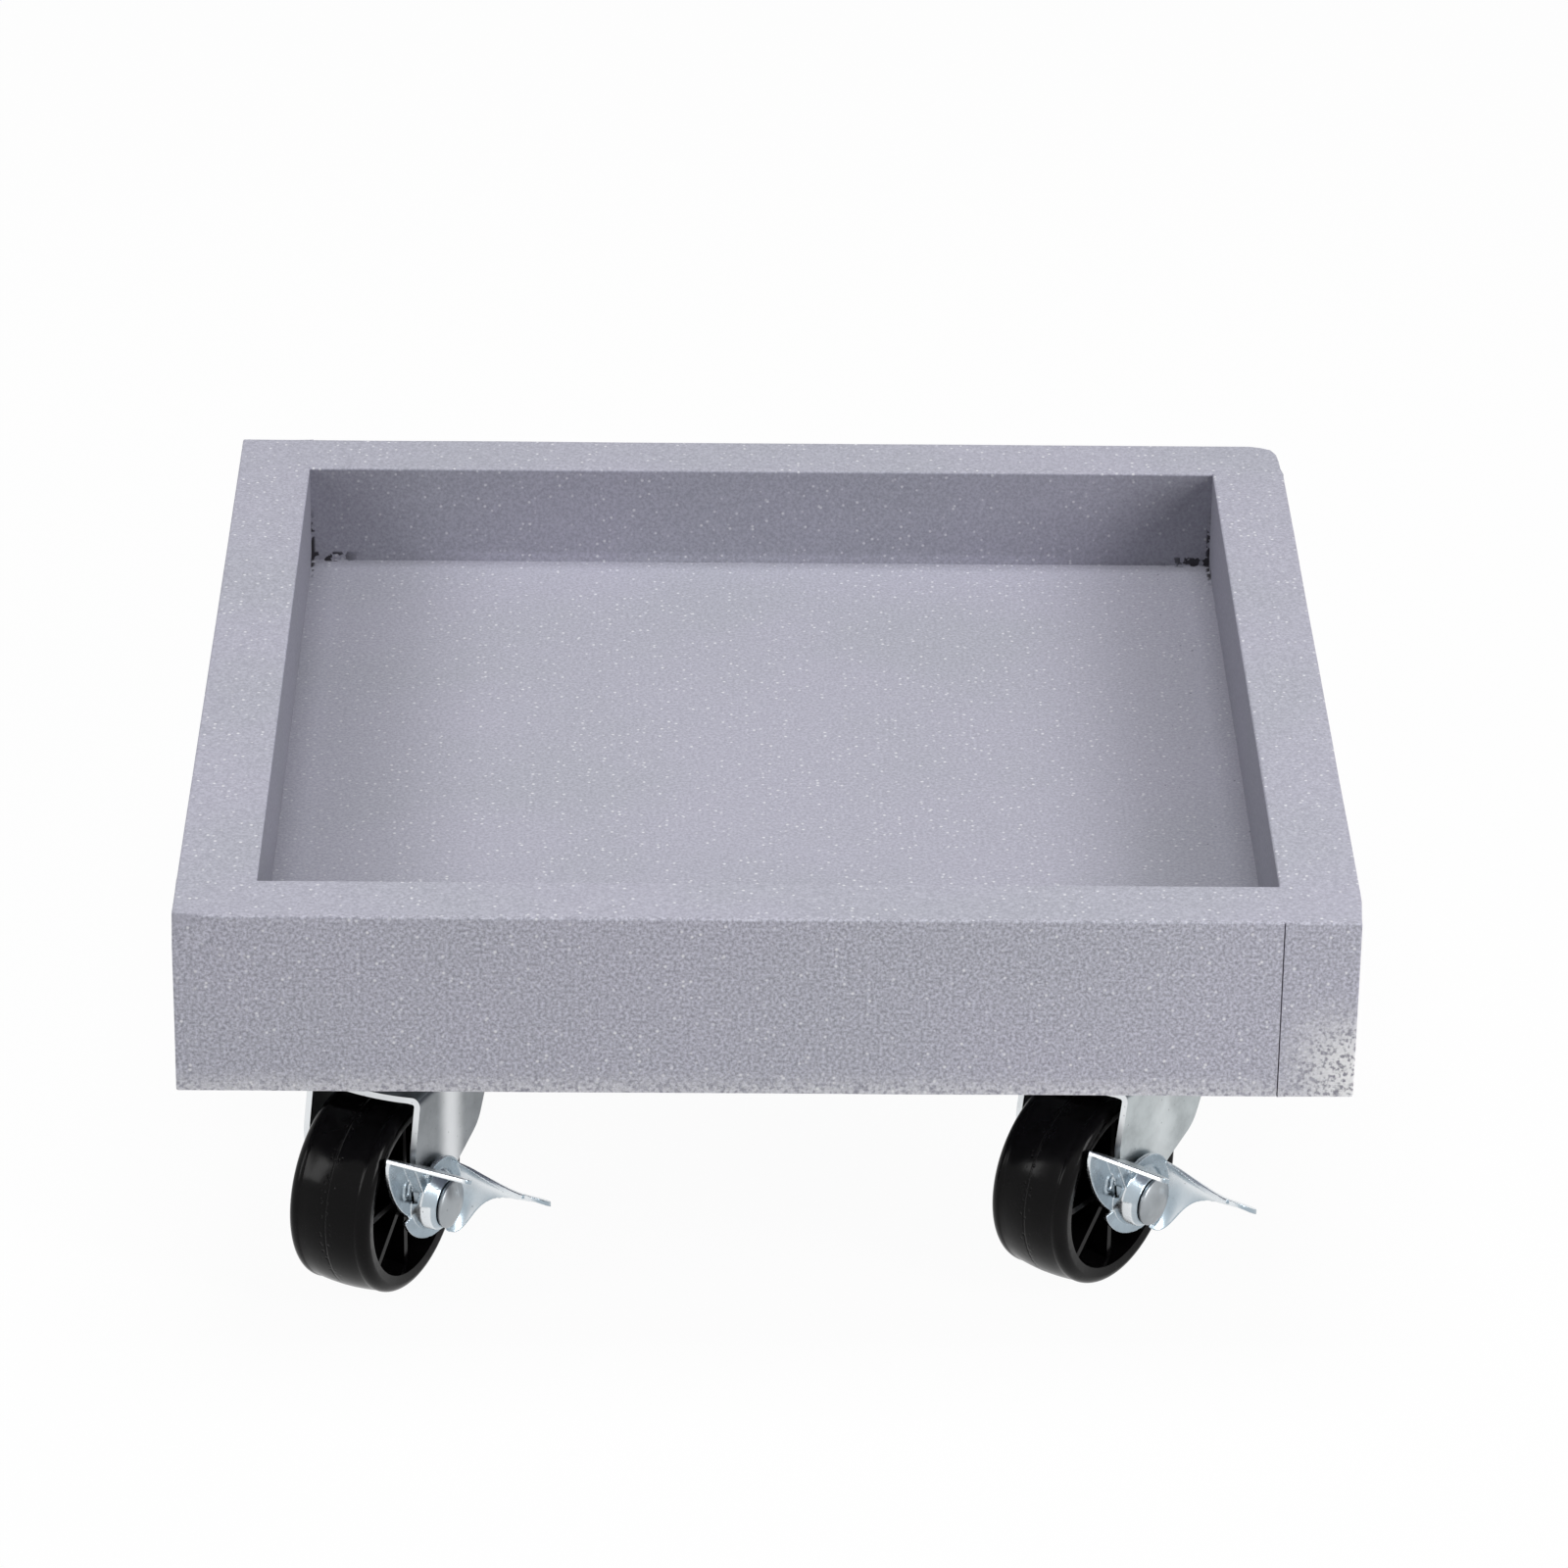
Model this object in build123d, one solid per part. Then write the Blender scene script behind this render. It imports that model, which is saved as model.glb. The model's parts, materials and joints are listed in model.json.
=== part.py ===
from build123d import *
import os
from math import asin, cos, pi, radians, sin

# Rolling plant stand: a square painted tray on four small swivel casters, the front two with foot brakes.
# Millimetres. Origin on the floor under the middle of the tray, +X to the right, +Y to the back, +Z up.

# Tray
TRAY_SIDE = 280.0
BOARD_THICKNESS = 19.0
RAIL_HEIGHT = 46.5
PANEL_THICKNESS = 19.5
EDGE_BREAK = 0.6
DOWEL_DIAMETER = 6.0
DOWEL_LENGTH = 30.0
DOWEL_SLACK = 0.05
CORNER_DOWEL_SPACING = 24.0
PANEL_DOWEL_GAP = 10.0

# Where each caster is screwed on: side, end, shift from the nominal place, heading, braked
CASTER_INSET = 51.5
CASTERS = {
    "front_left": (-1, -1, 1.2, -2.2, -26.5, True),
    "front_right": (1, -1, 0.4, 2.5, -37.8, True),
    "rear_left": (-1, 1, 0.0, 0.0, -21.0, False),
    "rear_right": (1, 1, 0.0, 0.0, -33.0, False),
}

# Wheel
WHEEL_DIAMETER = 50.8
WHEEL_WIDTH = 22.0
TREAD_CROWN = 0.6
SHOULDER_WIDTH = 3.5
SHOULDER_DROP = 3.0
SHOULDER_FULLNESS = 0.75
RECESS_RADIUS = 20.4
RECESS_LIP = 0.4
RECESS_DRAFT = 1.0
WEB_THICKNESS = 4.4
HUB_RADIUS = 5.7
HUB_DRAFT = 0.5
RIB_COUNT = 8
RIB_THICKNESS = 1.6
RIB_SETBACK = 2.4

# Axle
AXLE_DIAMETER = 6.0
SLEEVE_DIAMETER = 9.0
SHAFT_CLEARANCE = 0.07
HEAD_RADIUS = 6.0
HEAD_RIM = 0.8
HEAD_DOME = 1.5
END_WASHER_RADIUS = 6.0
END_WASHER_SHEET = 1.0
PEENED_RADIUS = 4.4
PEENED_HEIGHT = 1.2

# Fork
FORK_SHEET = 1.6
FORK_INNER = 27.8
FORK_BEND = 2.2
TRAIL = 17.0
WHEEL_TOP_GAP = 2.7
CROWN_FRONT = 21.7
CROWN_BULGE = 1.8
CROWN_REAR = 17.5
LEG_FRONT = 7.8
LEG_FRONT_HEIGHT = 15.0
LEG_FRONT_ROUND = 14.0
LEG_END_RADIUS = 5.5
WAIST_ANGLE = -40.0
WAIST_SAG = 0.7
WAIST_END = (17.0, 5.75)
REAR_KNEE = (24.3, 9.6)
REAR_KNEE_ROUND = 9.0
BODY_GAP = 0.35

# Swivel bearing
BOSS_RISE = 5.75
BOSS_RADIUS = 13.9
BOSS_FLARE = 1.5
BOSS_CHAMFER = 0.8
BOSS_ROOT = 0.2
BALL_DIAMETER = 4.0
BALL_PITCH_RADIUS = 11.0
BALL_SPACING = 0.7
LOW_BALL_DIAMETER = 3.2
LOW_BALL_PITCH_RADIUS = 7.4
RACE_BITE = 0.5
BALL_CLEARANCE = 0.1
LOW_RACE_THICKNESS = 1.4
LOW_RACE_RIM = 1.4
RIVET_DIAMETER = 8.0
RIVET_HEAD_RADIUS = 6.2
RIVET_HEAD_HEIGHT = 2.2

# Top plate
PLATE_LENGTH = 56.0
PLATE_WIDTH = 46.0
PLATE_SHEET = 1.8
PLATE_CORNER = 5.0
DISH_DEPTH = 4.15
DISH_WALL_RUN = 1.6
SCREW_SPACING_X = 45.0
SCREW_SPACING_Y = 35.0
SCREW_DIAMETER = 3.6
SCREW_LENGTH = 14.0
SCREW_HEAD_RADIUS = 3.9
SCREW_HEAD_HEIGHT = 2.4
PLATE_HOLE_SLACK = 0.6

# Brake lever, a stamped sheet that rocks on the axle rivet; points are about the axle, back and up
LEVER_SHEET = 1.2
LEVER_RISE = 4.9
LOBE_RADIUS = 9.9
LOBE_TILT = 14.0
LOBE_START = 195.0
LOBE_CREASE = 170.0
POCKET_RADIUS = 6.1
POCKET_START = 165.0
POCKET_END = 298.0
DISC_RADIUS = 11.4
DISC_DISH = 1.0
DISC_REACH = 122.0
TAB_SLOPE = 30.0
TAB_FRONT = (-16.4, 18.6)
TAB_WIDTH = 22.1
TAB_DEPTH = 14.0
TAB_STEP = 6.4
TAB_CORNER = 1.2
FAN_EDGE = [(-17.2, 16.4), (-16.0, 9.4), (-11.5, 2.0)]
FAN_NOTCH_ANGLE = 199.0
FAN_BACK = 5.0
PEDAL_REACH = 38.0
PEDAL_TIP_ROUND = 4.5
PEDAL_SECTIONS = [
    (0.0, (9.4, 6.4), (4.6, -10.4), 4.0),
    (0.17, (10.8, 4.7), (11.4, -9.2), 2.6),
    (0.27, (11.4, 3.5), (14.4, -6.0), 1.7),
    (0.4, (12.1, 2.0), (16.6, -4.6), 1.0),
    (0.68, (13.2, -0.5), (20.0, -5.4), 0.3),
    (1.0, (14.0, -1.7), (21.6, -6.3), 0.1),
]
EMBOSS_LENGTH = 4.8
EMBOSS_WIDTH = 3.2
EMBOSS_LINE = 0.7
EMBOSS_HEIGHT = 0.4
EMBOSS_PLACE = (-8.9, 6.6)
EMBOSS_TURN = 80.0
WINDOW = [(-1.9, -3.9), (1.1, -3.2), (1.6, -5.6)]
WASHER_RADIUS = 5.6
WASHER_SHEET = 0.8

# Heights and places that follow from the sizes above
WHEEL_RADIUS = WHEEL_DIAMETER / 2
AXLE_RADIUS = AXLE_DIAMETER / 2
SLEEVE_RADIUS = SLEEVE_DIAMETER / 2
FORK_HALF_IN = FORK_INNER / 2
FORK_HALF_OUT = FORK_HALF_IN + FORK_SHEET
CROWN_UNDER = WHEEL_DIAMETER + WHEEL_TOP_GAP
CROWN_TOP = CROWN_UNDER + FORK_SHEET
BOSS_TOP = CROWN_TOP + BOSS_RISE
BALL_RADIUS = BALL_DIAMETER / 2
BALL_HEIGHT = BOSS_TOP - RACE_BITE + BALL_CLEARANCE + BALL_RADIUS
DISH_UNDER = BALL_HEIGHT + BALL_RADIUS + BALL_CLEARANCE - RACE_BITE
DISH_FLOOR = DISH_UNDER + PLATE_SHEET
PLATE_TOP = DISH_FLOOR + DISH_DEPTH
PLATE_UNDER = PLATE_TOP - PLATE_SHEET
LOW_BALL_RADIUS = LOW_BALL_DIAMETER / 2
LOW_BALL_HEIGHT = BOSS_TOP - FORK_SHEET + RACE_BITE - BALL_CLEARANCE - LOW_BALL_RADIUS
LOW_RACE_TOP = LOW_BALL_HEIGHT - LOW_BALL_RADIUS - BALL_CLEARANCE + RACE_BITE
LOW_RACE_UNDER = LOW_RACE_TOP - LOW_RACE_THICKNESS
RIVET_RADIUS = RIVET_DIAMETER / 2
TRAY_UNDER = PLATE_TOP
HALF_SIDE = TRAY_SIDE / 2
INNER_HALF = HALF_SIDE - BOARD_THICKNESS
BRIM_OUT = FORK_HALF_IN - BODY_GAP
BRIM_IN = BRIM_OUT - LEVER_SHEET
DISC_IN = FORK_HALF_OUT + BODY_GAP
DISC_OUT = DISC_IN + LEVER_SHEET
RING_OUT = FORK_HALF_OUT + LEVER_RISE - BODY_GAP
RING_IN = RING_OUT - LEVER_SHEET
HEAD_SEAT = FORK_HALF_OUT + LEVER_RISE

# Flat working plane of the axle: x runs back along the caster, y runs up, z runs out along the axle
AXLE_PLANE = Plane(origin=(0, -TRAIL, WHEEL_RADIUS), x_dir=(0, 1, 0), z_dir=(1, 0, 0))


def turned(points, start=0.0, sweep=360.0):
    """A solid of revolution about Z from (radius, height) points, starting at an angle from +X."""
    face = Plane.XZ * make_face(Polyline(*points, close=True))
    solid = revolve(face, Axis.Z, sweep)
    return Rot(0, 0, start) * solid


def tube(outer, inner, low, high):
    """A ring about Z between two heights."""
    return turned([(inner, low), (outer, low), (outer, high), (inner, high)])


def rod(radius, low, high):
    """A plain shaft about Z between two heights."""
    return Pos(0, 0, low) * Cylinder(radius, high - low, align=(Align.CENTER, Align.CENTER, Align.MIN))


def ball_ring(radius, pitch, height):
    """A full row of balls round the swivel axis."""
    count = int(2 * pi * pitch / (2 * radius + BALL_SPACING))
    balls = [Rot(0, 0, 360 * i / count) * Pos(pitch, 0, height) * Sphere(radius) for i in range(count)]
    return Compound(children=balls)


def race_cut(radius, pitch, height):
    """The groove that a row of balls runs in, as a solid to cut away."""
    return Pos(0, 0, height) * Torus(pitch, radius + BALL_CLEARANCE)


# Tray boards

def dowel_spots():
    """Corner dowels on the front rail: their lengthways place and heights."""
    middle = TRAY_UNDER + RAIL_HEIGHT / 2
    return [middle - CORNER_DOWEL_SPACING / 2, middle + CORNER_DOWEL_SPACING / 2]


def corner_dowel(radius, length):
    """One front-left corner dowel: it runs back from the front rail into the end of the left rail."""
    stub = Pos(-HALF_SIDE + BOARD_THICKNESS / 2, -INNER_HALF, 0) * Rot(90, 0, 0) * Cylinder(radius, length)
    return [Pos(0, 0, z) * stub for z in dowel_spots()]


def panel_dowel(radius, length):
    """Two dowels that pin the front rail to the front edge of the floor panel."""
    height = TRAY_UNDER + PANEL_THICKNESS / 2
    stub = Rot(90, 0, 0) * Cylinder(radius, length)
    place = HALF_SIDE - CASTER_INSET - SCREW_SPACING_X / 2 - PANEL_DOWEL_GAP
    return [Pos(x, -INNER_HALF, height) * stub for x in (-place, place)]


def all_round(solids):
    """The same solids on all four sides of the tray."""
    return [Rot(0, 0, 90 * i) * s for i in range(4) for s in solids]


def rail():
    """The front rail: its left end covers the left rail, its right end butts against the right rail."""
    length = TRAY_SIDE - BOARD_THICKNESS
    low = (Align.MIN, Align.MIN, Align.MIN)
    board = Pos(-HALF_SIDE, -HALF_SIDE, TRAY_UNDER) * Box(length, BOARD_THICKNESS, RAIL_HEIGHT, align=low)
    top = board.faces().sort_by(Axis.Z)[-1]
    front = board.faces().sort_by(Axis.Y)[0]
    outer = [e for e in front.edges() if abs(e.center().Z - TRAY_UNDER) < EDGE_BREAK or e.center().X < -INNER_HALF]
    edges = [e for e in top.edges() if e.center().X < INNER_HALF - EDGE_BREAK] + outer
    board = fillet(edges, EDGE_BREAK)
    hole = DOWEL_DIAMETER / 2 + DOWEL_SLACK
    reach = DOWEL_LENGTH + 2 * DOWEL_SLACK
    cuts = corner_dowel(hole, reach) + panel_dowel(hole, reach)
    end_cuts = [Rot(0, 0, 90) * s for s in corner_dowel(hole, reach)]
    return board - cuts - end_cuts


def caster_places():
    """Name, place, heading and brake of each caster."""
    for name, (side, end, shift_x, shift_y, heading, braked) in CASTERS.items():
        x = side * (HALF_SIDE - CASTER_INSET) + shift_x
        y = end * (HALF_SIDE - CASTER_INSET) + shift_y
        yield name, x, y, heading, braked


def floor_panel():
    """The square floor of the tray, with dowel holes in its edges and pilot holes under the casters."""
    side = 2 * INNER_HALF
    low = (Align.CENTER, Align.CENTER, Align.MIN)
    board = Pos(0, 0, TRAY_UNDER) * Box(side, side, PANEL_THICKNESS, align=low)
    hole = DOWEL_DIAMETER / 2 + DOWEL_SLACK
    board -= all_round(panel_dowel(hole, DOWEL_LENGTH + 2 * DOWEL_SLACK))
    pilot = rod(SCREW_DIAMETER / 2 + DOWEL_SLACK, PLATE_TOP, PLATE_UNDER + SCREW_LENGTH + DOWEL_SLACK)
    board -= [Pos(x + dx, y + dy) * pilot for _, x, y, _, _ in caster_places() for dx, dy in screw_grid()]
    return board


# Caster mounting

def screw_grid():
    """The four screw places of one top plate, from its middle."""
    return [(sx * SCREW_SPACING_X / 2, sy * SCREW_SPACING_Y / 2) for sx in (-1, 1) for sy in (-1, 1)]


def mounting_screw():
    """A pan head wood screw that comes up through the top plate."""
    shank = rod(SCREW_DIAMETER / 2, PLATE_UNDER, PLATE_UNDER + SCREW_LENGTH)
    head = rod(SCREW_HEAD_RADIUS, PLATE_UNDER - SCREW_HEAD_HEIGHT, PLATE_UNDER)
    head = fillet(head.edges().sort_by(Axis.Z)[:1], SCREW_HEAD_HEIGHT * 0.6)
    slot = Pos(0, 0, PLATE_UNDER - SCREW_HEAD_HEIGHT) * Box(SCREW_HEAD_RADIUS, 0.9, 2.0)
    return shank + head - slot - Rot(0, 0, 90) * slot


def top_plate():
    """The stamped mounting plate, dished in the middle for the rivet head and the upper ball race."""
    low = (Align.CENTER, Align.CENTER, Align.MIN)
    plate = Pos(0, 0, PLATE_UNDER) * Box(PLATE_LENGTH, PLATE_WIDTH, PLATE_SHEET, align=low)
    plate = fillet(plate.edges().filter_by(Axis.Z), PLATE_CORNER)
    floor_edge = BOSS_RADIUS + BOSS_FLARE
    rim = floor_edge + DISH_WALL_RUN
    plate -= turned([(0, PLATE_UNDER), (rim, PLATE_UNDER), (rim, PLATE_TOP), (0, PLATE_TOP)])
    dish = [
        (RIVET_RADIUS, DISH_UNDER),
        (floor_edge, DISH_UNDER),
        (rim + 0.2, PLATE_UNDER),
        (rim + 0.2, PLATE_TOP),
        (rim - PLATE_SHEET * 0.4, PLATE_TOP),
        (floor_edge - PLATE_SHEET * 0.8, DISH_FLOOR),
        (RIVET_RADIUS, DISH_FLOOR),
    ]
    plate += turned(dish)
    plate -= race_cut(BALL_RADIUS, BALL_PITCH_RADIUS, BALL_HEIGHT)
    hole = rod(SCREW_DIAMETER / 2 + PLATE_HOLE_SLACK, PLATE_UNDER - 1, PLATE_TOP + 1)
    return plate - [Pos(dx, dy) * hole for dx, dy in screw_grid()]


def king_rivet():
    """The rivet that holds plate, fork and lower race together."""
    points = [
        (0, LOW_RACE_UNDER - RIVET_HEAD_HEIGHT),
        (RIVET_HEAD_RADIUS * 0.7, LOW_RACE_UNDER - RIVET_HEAD_HEIGHT),
        (RIVET_HEAD_RADIUS, LOW_RACE_UNDER - RIVET_HEAD_HEIGHT * 0.4),
        (RIVET_HEAD_RADIUS, LOW_RACE_UNDER),
        (RIVET_RADIUS, LOW_RACE_UNDER),
        (RIVET_RADIUS, DISH_FLOOR),
        (RIVET_HEAD_RADIUS, DISH_FLOOR),
        (RIVET_HEAD_RADIUS, DISH_FLOOR + RIVET_HEAD_HEIGHT),
        (0, DISH_FLOOR + RIVET_HEAD_HEIGHT),
    ]
    return turned(points)


def lower_race():
    """The hardened washer under the fork that the small balls run on."""
    outer = LOW_BALL_PITCH_RADIUS + LOW_BALL_RADIUS + LOW_RACE_RIM
    washer = tube(outer, RIVET_RADIUS, LOW_RACE_UNDER, LOW_RACE_TOP)
    return washer - race_cut(LOW_BALL_RADIUS, LOW_BALL_PITCH_RADIUS, LOW_BALL_HEIGHT)


# Fork

def leg_end_point(degrees):
    """A point on the round end of the fork leg, in the axle's plane."""
    angle = radians(degrees)
    return Vector(LEG_END_RADIUS * cos(angle), LEG_END_RADIUS * sin(angle))


def fork_side_outline():
    """The fork seen along the axle, about the axle: steep front edge, round leg end, hollow waist, full rear knee."""
    top = CROWN_TOP - WHEEL_RADIUS
    front = Vector(TRAIL - CROWN_FRONT, top)
    belly = Vector(-LEG_FRONT, LEG_FRONT_HEIGHT)
    shin = leg_end_point(180)
    waist = leg_end_point(WAIST_ANGLE)
    waist_end = Vector(*WAIST_END)
    chord = waist_end - waist
    hollow = (waist + waist_end) * 0.5 + Vector(-chord.Y, chord.X).normalized() * WAIST_SAG
    knee = Vector(*REAR_KNEE)
    back = Vector(TRAIL + CROWN_REAR, top)
    face = make_face([
        Line(front, belly),
        Line(belly, shin),
        ThreePointArc(shin, leg_end_point((180 + WAIST_ANGLE) / 2 + 180), waist),
        ThreePointArc(waist, hollow, waist_end),
        Line(waist_end, knee),
        Line(knee, back),
        Line(back, front),
    ])
    face = fillet(face.vertices().sort_by_distance(Vector(knee.X, knee.Y, 0))[0], REAR_KNEE_ROUND)
    return fillet(face.vertices().sort_by_distance(Vector(belly.X, belly.Y, 0))[0], LEG_FRONT_ROUND)


def crown_lip():
    """The shallow bow of the crown's front edge."""
    half = FORK_HALF_OUT - FORK_BEND
    front = -CROWN_FRONT
    bow = make_face([
        ThreePointArc((-half, front), (0, front - CROWN_BULGE), (half, front)),
        Polyline((half, front), (half, front + FORK_SHEET), (-half, front + FORK_SHEET), (-half, front)),
    ])
    return Pos(0, 0, CROWN_UNDER) * extrude(bow, FORK_SHEET)


def fork_blank():
    """The bent channel before the boss and the holes are pressed."""
    width = 2 * FORK_HALF_OUT
    length = 4 * (TRAIL + CROWN_REAR)
    low = (Align.CENTER, Align.CENTER, Align.MIN)
    outside = Box(width, length, CROWN_TOP, align=low)
    outside = fillet(outside.edges().filter_by(Axis.Y).group_by(Axis.Z)[-1], FORK_BEND)
    inside = Box(FORK_INNER, length, CROWN_UNDER, align=low)
    inside = fillet(inside.edges().filter_by(Axis.Y).group_by(Axis.Z)[-1], FORK_BEND - FORK_SHEET)
    side = AXLE_PLANE * fork_side_outline()
    return (extrude(side, width, both=True) & (outside - inside)) + crown_lip()


def fork():
    """The pressed steel fork with its raised crown boss."""
    base = BOSS_RADIUS + BOSS_FLARE
    body = fork_blank() - rod(base - FORK_SHEET, CROWN_UNDER - FORK_SHEET, CROWN_TOP + FORK_SHEET)
    hole = RIVET_RADIUS + SHAFT_CLEARANCE
    boss = [
        (hole, BOSS_TOP - FORK_SHEET),
        (BOSS_RADIUS - FORK_SHEET, BOSS_TOP - FORK_SHEET),
        (base - FORK_SHEET - BOSS_ROOT, CROWN_UNDER),
        (base - FORK_SHEET + BOSS_ROOT, CROWN_UNDER),
        (base, CROWN_TOP),
        (BOSS_RADIUS, BOSS_TOP - BOSS_CHAMFER),
        (BOSS_RADIUS - BOSS_CHAMFER, BOSS_TOP),
        (hole, BOSS_TOP),
    ]
    body += turned(boss)
    body -= race_cut(BALL_RADIUS, BALL_PITCH_RADIUS, BALL_HEIGHT)
    body -= race_cut(LOW_BALL_RADIUS, LOW_BALL_PITCH_RADIUS, LOW_BALL_HEIGHT)
    return body - AXLE_PLANE * rod(AXLE_RADIUS + SHAFT_CLEARANCE, -2 * FORK_HALF_OUT, 2 * FORK_HALF_OUT)


# Wheel and axle, drawn about the axle as Z

def wheel_profile():
    """Half section of the wheel as (radius, height along the axle)."""
    half = WHEEL_WIDTH / 2
    shoulder = half - SHOULDER_WIDTH
    radius = WHEEL_RADIUS
    low = radius - SHOULDER_DROP
    bore = SLEEVE_RADIUS + SHAFT_CLEARANCE
    hub_end = FORK_HALF_IN - BODY_GAP
    web = WEB_THICKNESS / 2
    crown_edge = radius - TREAD_CROWN
    drop = SHOULDER_DROP - TREAD_CROWN
    arc_mid = (crown_edge - drop * (1 - SHOULDER_FULLNESS), shoulder + SHOULDER_WIDTH * SHOULDER_FULLNESS)
    half_lines = [
        ((low, half), (RECESS_RADIUS, half - RECESS_LIP)),
        ((RECESS_RADIUS, half - RECESS_LIP), (RECESS_RADIUS - RECESS_DRAFT, web)),
        ((RECESS_RADIUS - RECESS_DRAFT, web), (HUB_RADIUS + HUB_DRAFT, web)),
        ((HUB_RADIUS + HUB_DRAFT, web), (HUB_RADIUS, hub_end)),
        ((HUB_RADIUS, hub_end), (bore, hub_end)),
    ]
    lines = [ThreePointArc((crown_edge, -shoulder), (radius, 0), (crown_edge, shoulder))]
    lines.append(Line((bore, -hub_end), (bore, hub_end)))
    for s in (-1, 1):
        lines.append(ThreePointArc((crown_edge, s * shoulder), (arc_mid[0], s * arc_mid[1]), (low, s * half)))
        lines += [Line((a[0], s * a[1]), (b[0], s * b[1])) for a, b in half_lines]
    return Plane.XZ * make_face(lines)


def wheel():
    """The moulded wheel: crowned tread, deep recess on both sides, ribs from hub to rim."""
    body = revolve(wheel_profile(), Axis.Z)
    top = WHEEL_WIDTH / 2 - RECESS_LIP - RIB_SETBACK
    reach = RECESS_RADIUS - RECESS_DRAFT / 2 - HUB_RADIUS
    low = (Align.MIN, Align.CENTER, Align.CENTER)
    rib = Pos(HUB_RADIUS, 0, 0) * Box(reach, RIB_THICKNESS, 2 * top, align=low)
    return body + [Rot(0, 0, 360 * i / RIB_COUNT) * rib for i in range(RIB_COUNT)]


def axle_sleeve():
    """The steel bush that the wheel turns on, clamped between the fork legs."""
    return tube(SLEEVE_RADIUS, AXLE_RADIUS + SHAFT_CLEARANCE, -FORK_HALF_IN, FORK_HALF_IN)


def axle_rivet(seat):
    """The rivet through fork and wheel: a low domed head whose underside is at seat, a peened far end."""
    washer = -(FORK_HALF_OUT + END_WASHER_SHEET)
    end = washer - PEENED_HEIGHT
    rim = seat + HEAD_RIM
    ball = (HEAD_RADIUS ** 2 + HEAD_DOME ** 2) / (2 * HEAD_DOME)
    half_angle = asin(HEAD_RADIUS / ball) / 2
    dome_middle = (ball * sin(half_angle), rim + HEAD_DOME - ball + ball * cos(half_angle))
    top = (0, rim + HEAD_DOME)
    peened = [
        (0, end),
        (PEENED_RADIUS - PEENED_HEIGHT / 2, end),
        (PEENED_RADIUS, end + PEENED_HEIGHT / 2),
        (PEENED_RADIUS, washer),
        (AXLE_RADIUS, washer),
    ]
    section = [
        Polyline(top, *peened, (AXLE_RADIUS, seat), (HEAD_RADIUS, seat), (HEAD_RADIUS, rim)),
        ThreePointArc((HEAD_RADIUS, rim), dome_middle, top),
    ]
    return revolve(Plane.XZ * make_face(section), Axis.Z)


def axle_washer():
    """The washer under the peened end of the axle rivet."""
    hole = AXLE_RADIUS + SHAFT_CLEARANCE
    return tube(END_WASHER_RADIUS, hole, -FORK_HALF_OUT - END_WASHER_SHEET, -FORK_HALF_OUT)


def brake_washer():
    """The cone spring washer that presses the brake lever out against the rivet head."""
    low = FORK_HALF_OUT
    high = RING_IN - BODY_GAP
    hole = AXLE_RADIUS + SHAFT_CLEARANCE
    cone = [
        (WASHER_RADIUS - WASHER_SHEET, low),
        (WASHER_RADIUS, low),
        (hole + WASHER_SHEET, high),
        (hole, high),
        (hole, high - WASHER_SHEET),
    ]
    return turned(cone)


# Brake lever, drawn about the axle as Z

def lever_dome():
    """The pocket pressed over the leg end: a steep wall that rounds in to the flat ring under the rivet head."""
    hole = AXLE_RADIUS + SHAFT_CLEARANCE
    ring_edge = HEAD_RADIUS - LEVER_SHEET
    wall = POCKET_RADIUS + LEVER_SHEET
    knee_in = RING_IN - LEVER_SHEET
    sweep = POCKET_END - POCKET_START
    ring = tube(HEAD_RADIUS, hole, RING_IN, RING_OUT)
    pocket = [
        (ring_edge, RING_OUT),
        (HEAD_RADIUS, RING_OUT),
        (wall - LEVER_SHEET / 3, knee_in + LEVER_SHEET),
        (wall, knee_in - LEVER_SHEET),
        (wall, BRIM_IN),
        (POCKET_RADIUS, BRIM_IN),
        (POCKET_RADIUS, knee_in - LEVER_SHEET),
        (ring_edge, RING_IN),
    ]
    cone = [
        (ring_edge, RING_OUT),
        (HEAD_RADIUS, RING_OUT),
        (wall + LEVER_SHEET, DISC_OUT),
        (wall + LEVER_SHEET, DISC_IN),
        (wall, DISC_IN),
        (ring_edge, RING_IN),
    ]
    return ring + turned(pocket, POCKET_START, sweep) + turned(cone, POCKET_END, 360 - sweep)


def lever_disc():
    """The dished flange behind the axle, whose upper edge is the shoulder that shows over the tab."""
    root = POCKET_RADIUS + LEVER_SHEET
    flange = [
        (root, DISC_IN),
        (DISC_RADIUS, DISC_IN + DISC_DISH),
        (DISC_RADIUS, DISC_OUT + DISC_DISH),
        (root, DISC_OUT),
    ]
    return turned(flange, POCKET_END, 360 - POCKET_END + DISC_REACH)


def lever_lobe():
    """The round lip under the leg end: it leaves the fan in its plane and rises to the flange behind."""
    root = POCKET_RADIUS + LEVER_SHEET / 2
    sheet = [(root, 0), (LOBE_RADIUS, 0), (LOBE_RADIUS, LEVER_SHEET), (root, LEVER_SHEET)]
    lip = turned(sheet, LOBE_START, POCKET_END - LOBE_START)
    low_side = LOBE_RADIUS * cos(radians(LOBE_START - LOBE_CREASE)) * sin(radians(LOBE_TILT))
    tilt = Rot(0, 0, LOBE_CREASE) * Rot(0, LOBE_TILT, 0) * Rot(0, 0, -LOBE_CREASE)
    return Pos(0, 0, BRIM_IN + low_side) * tilt * lip


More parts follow.
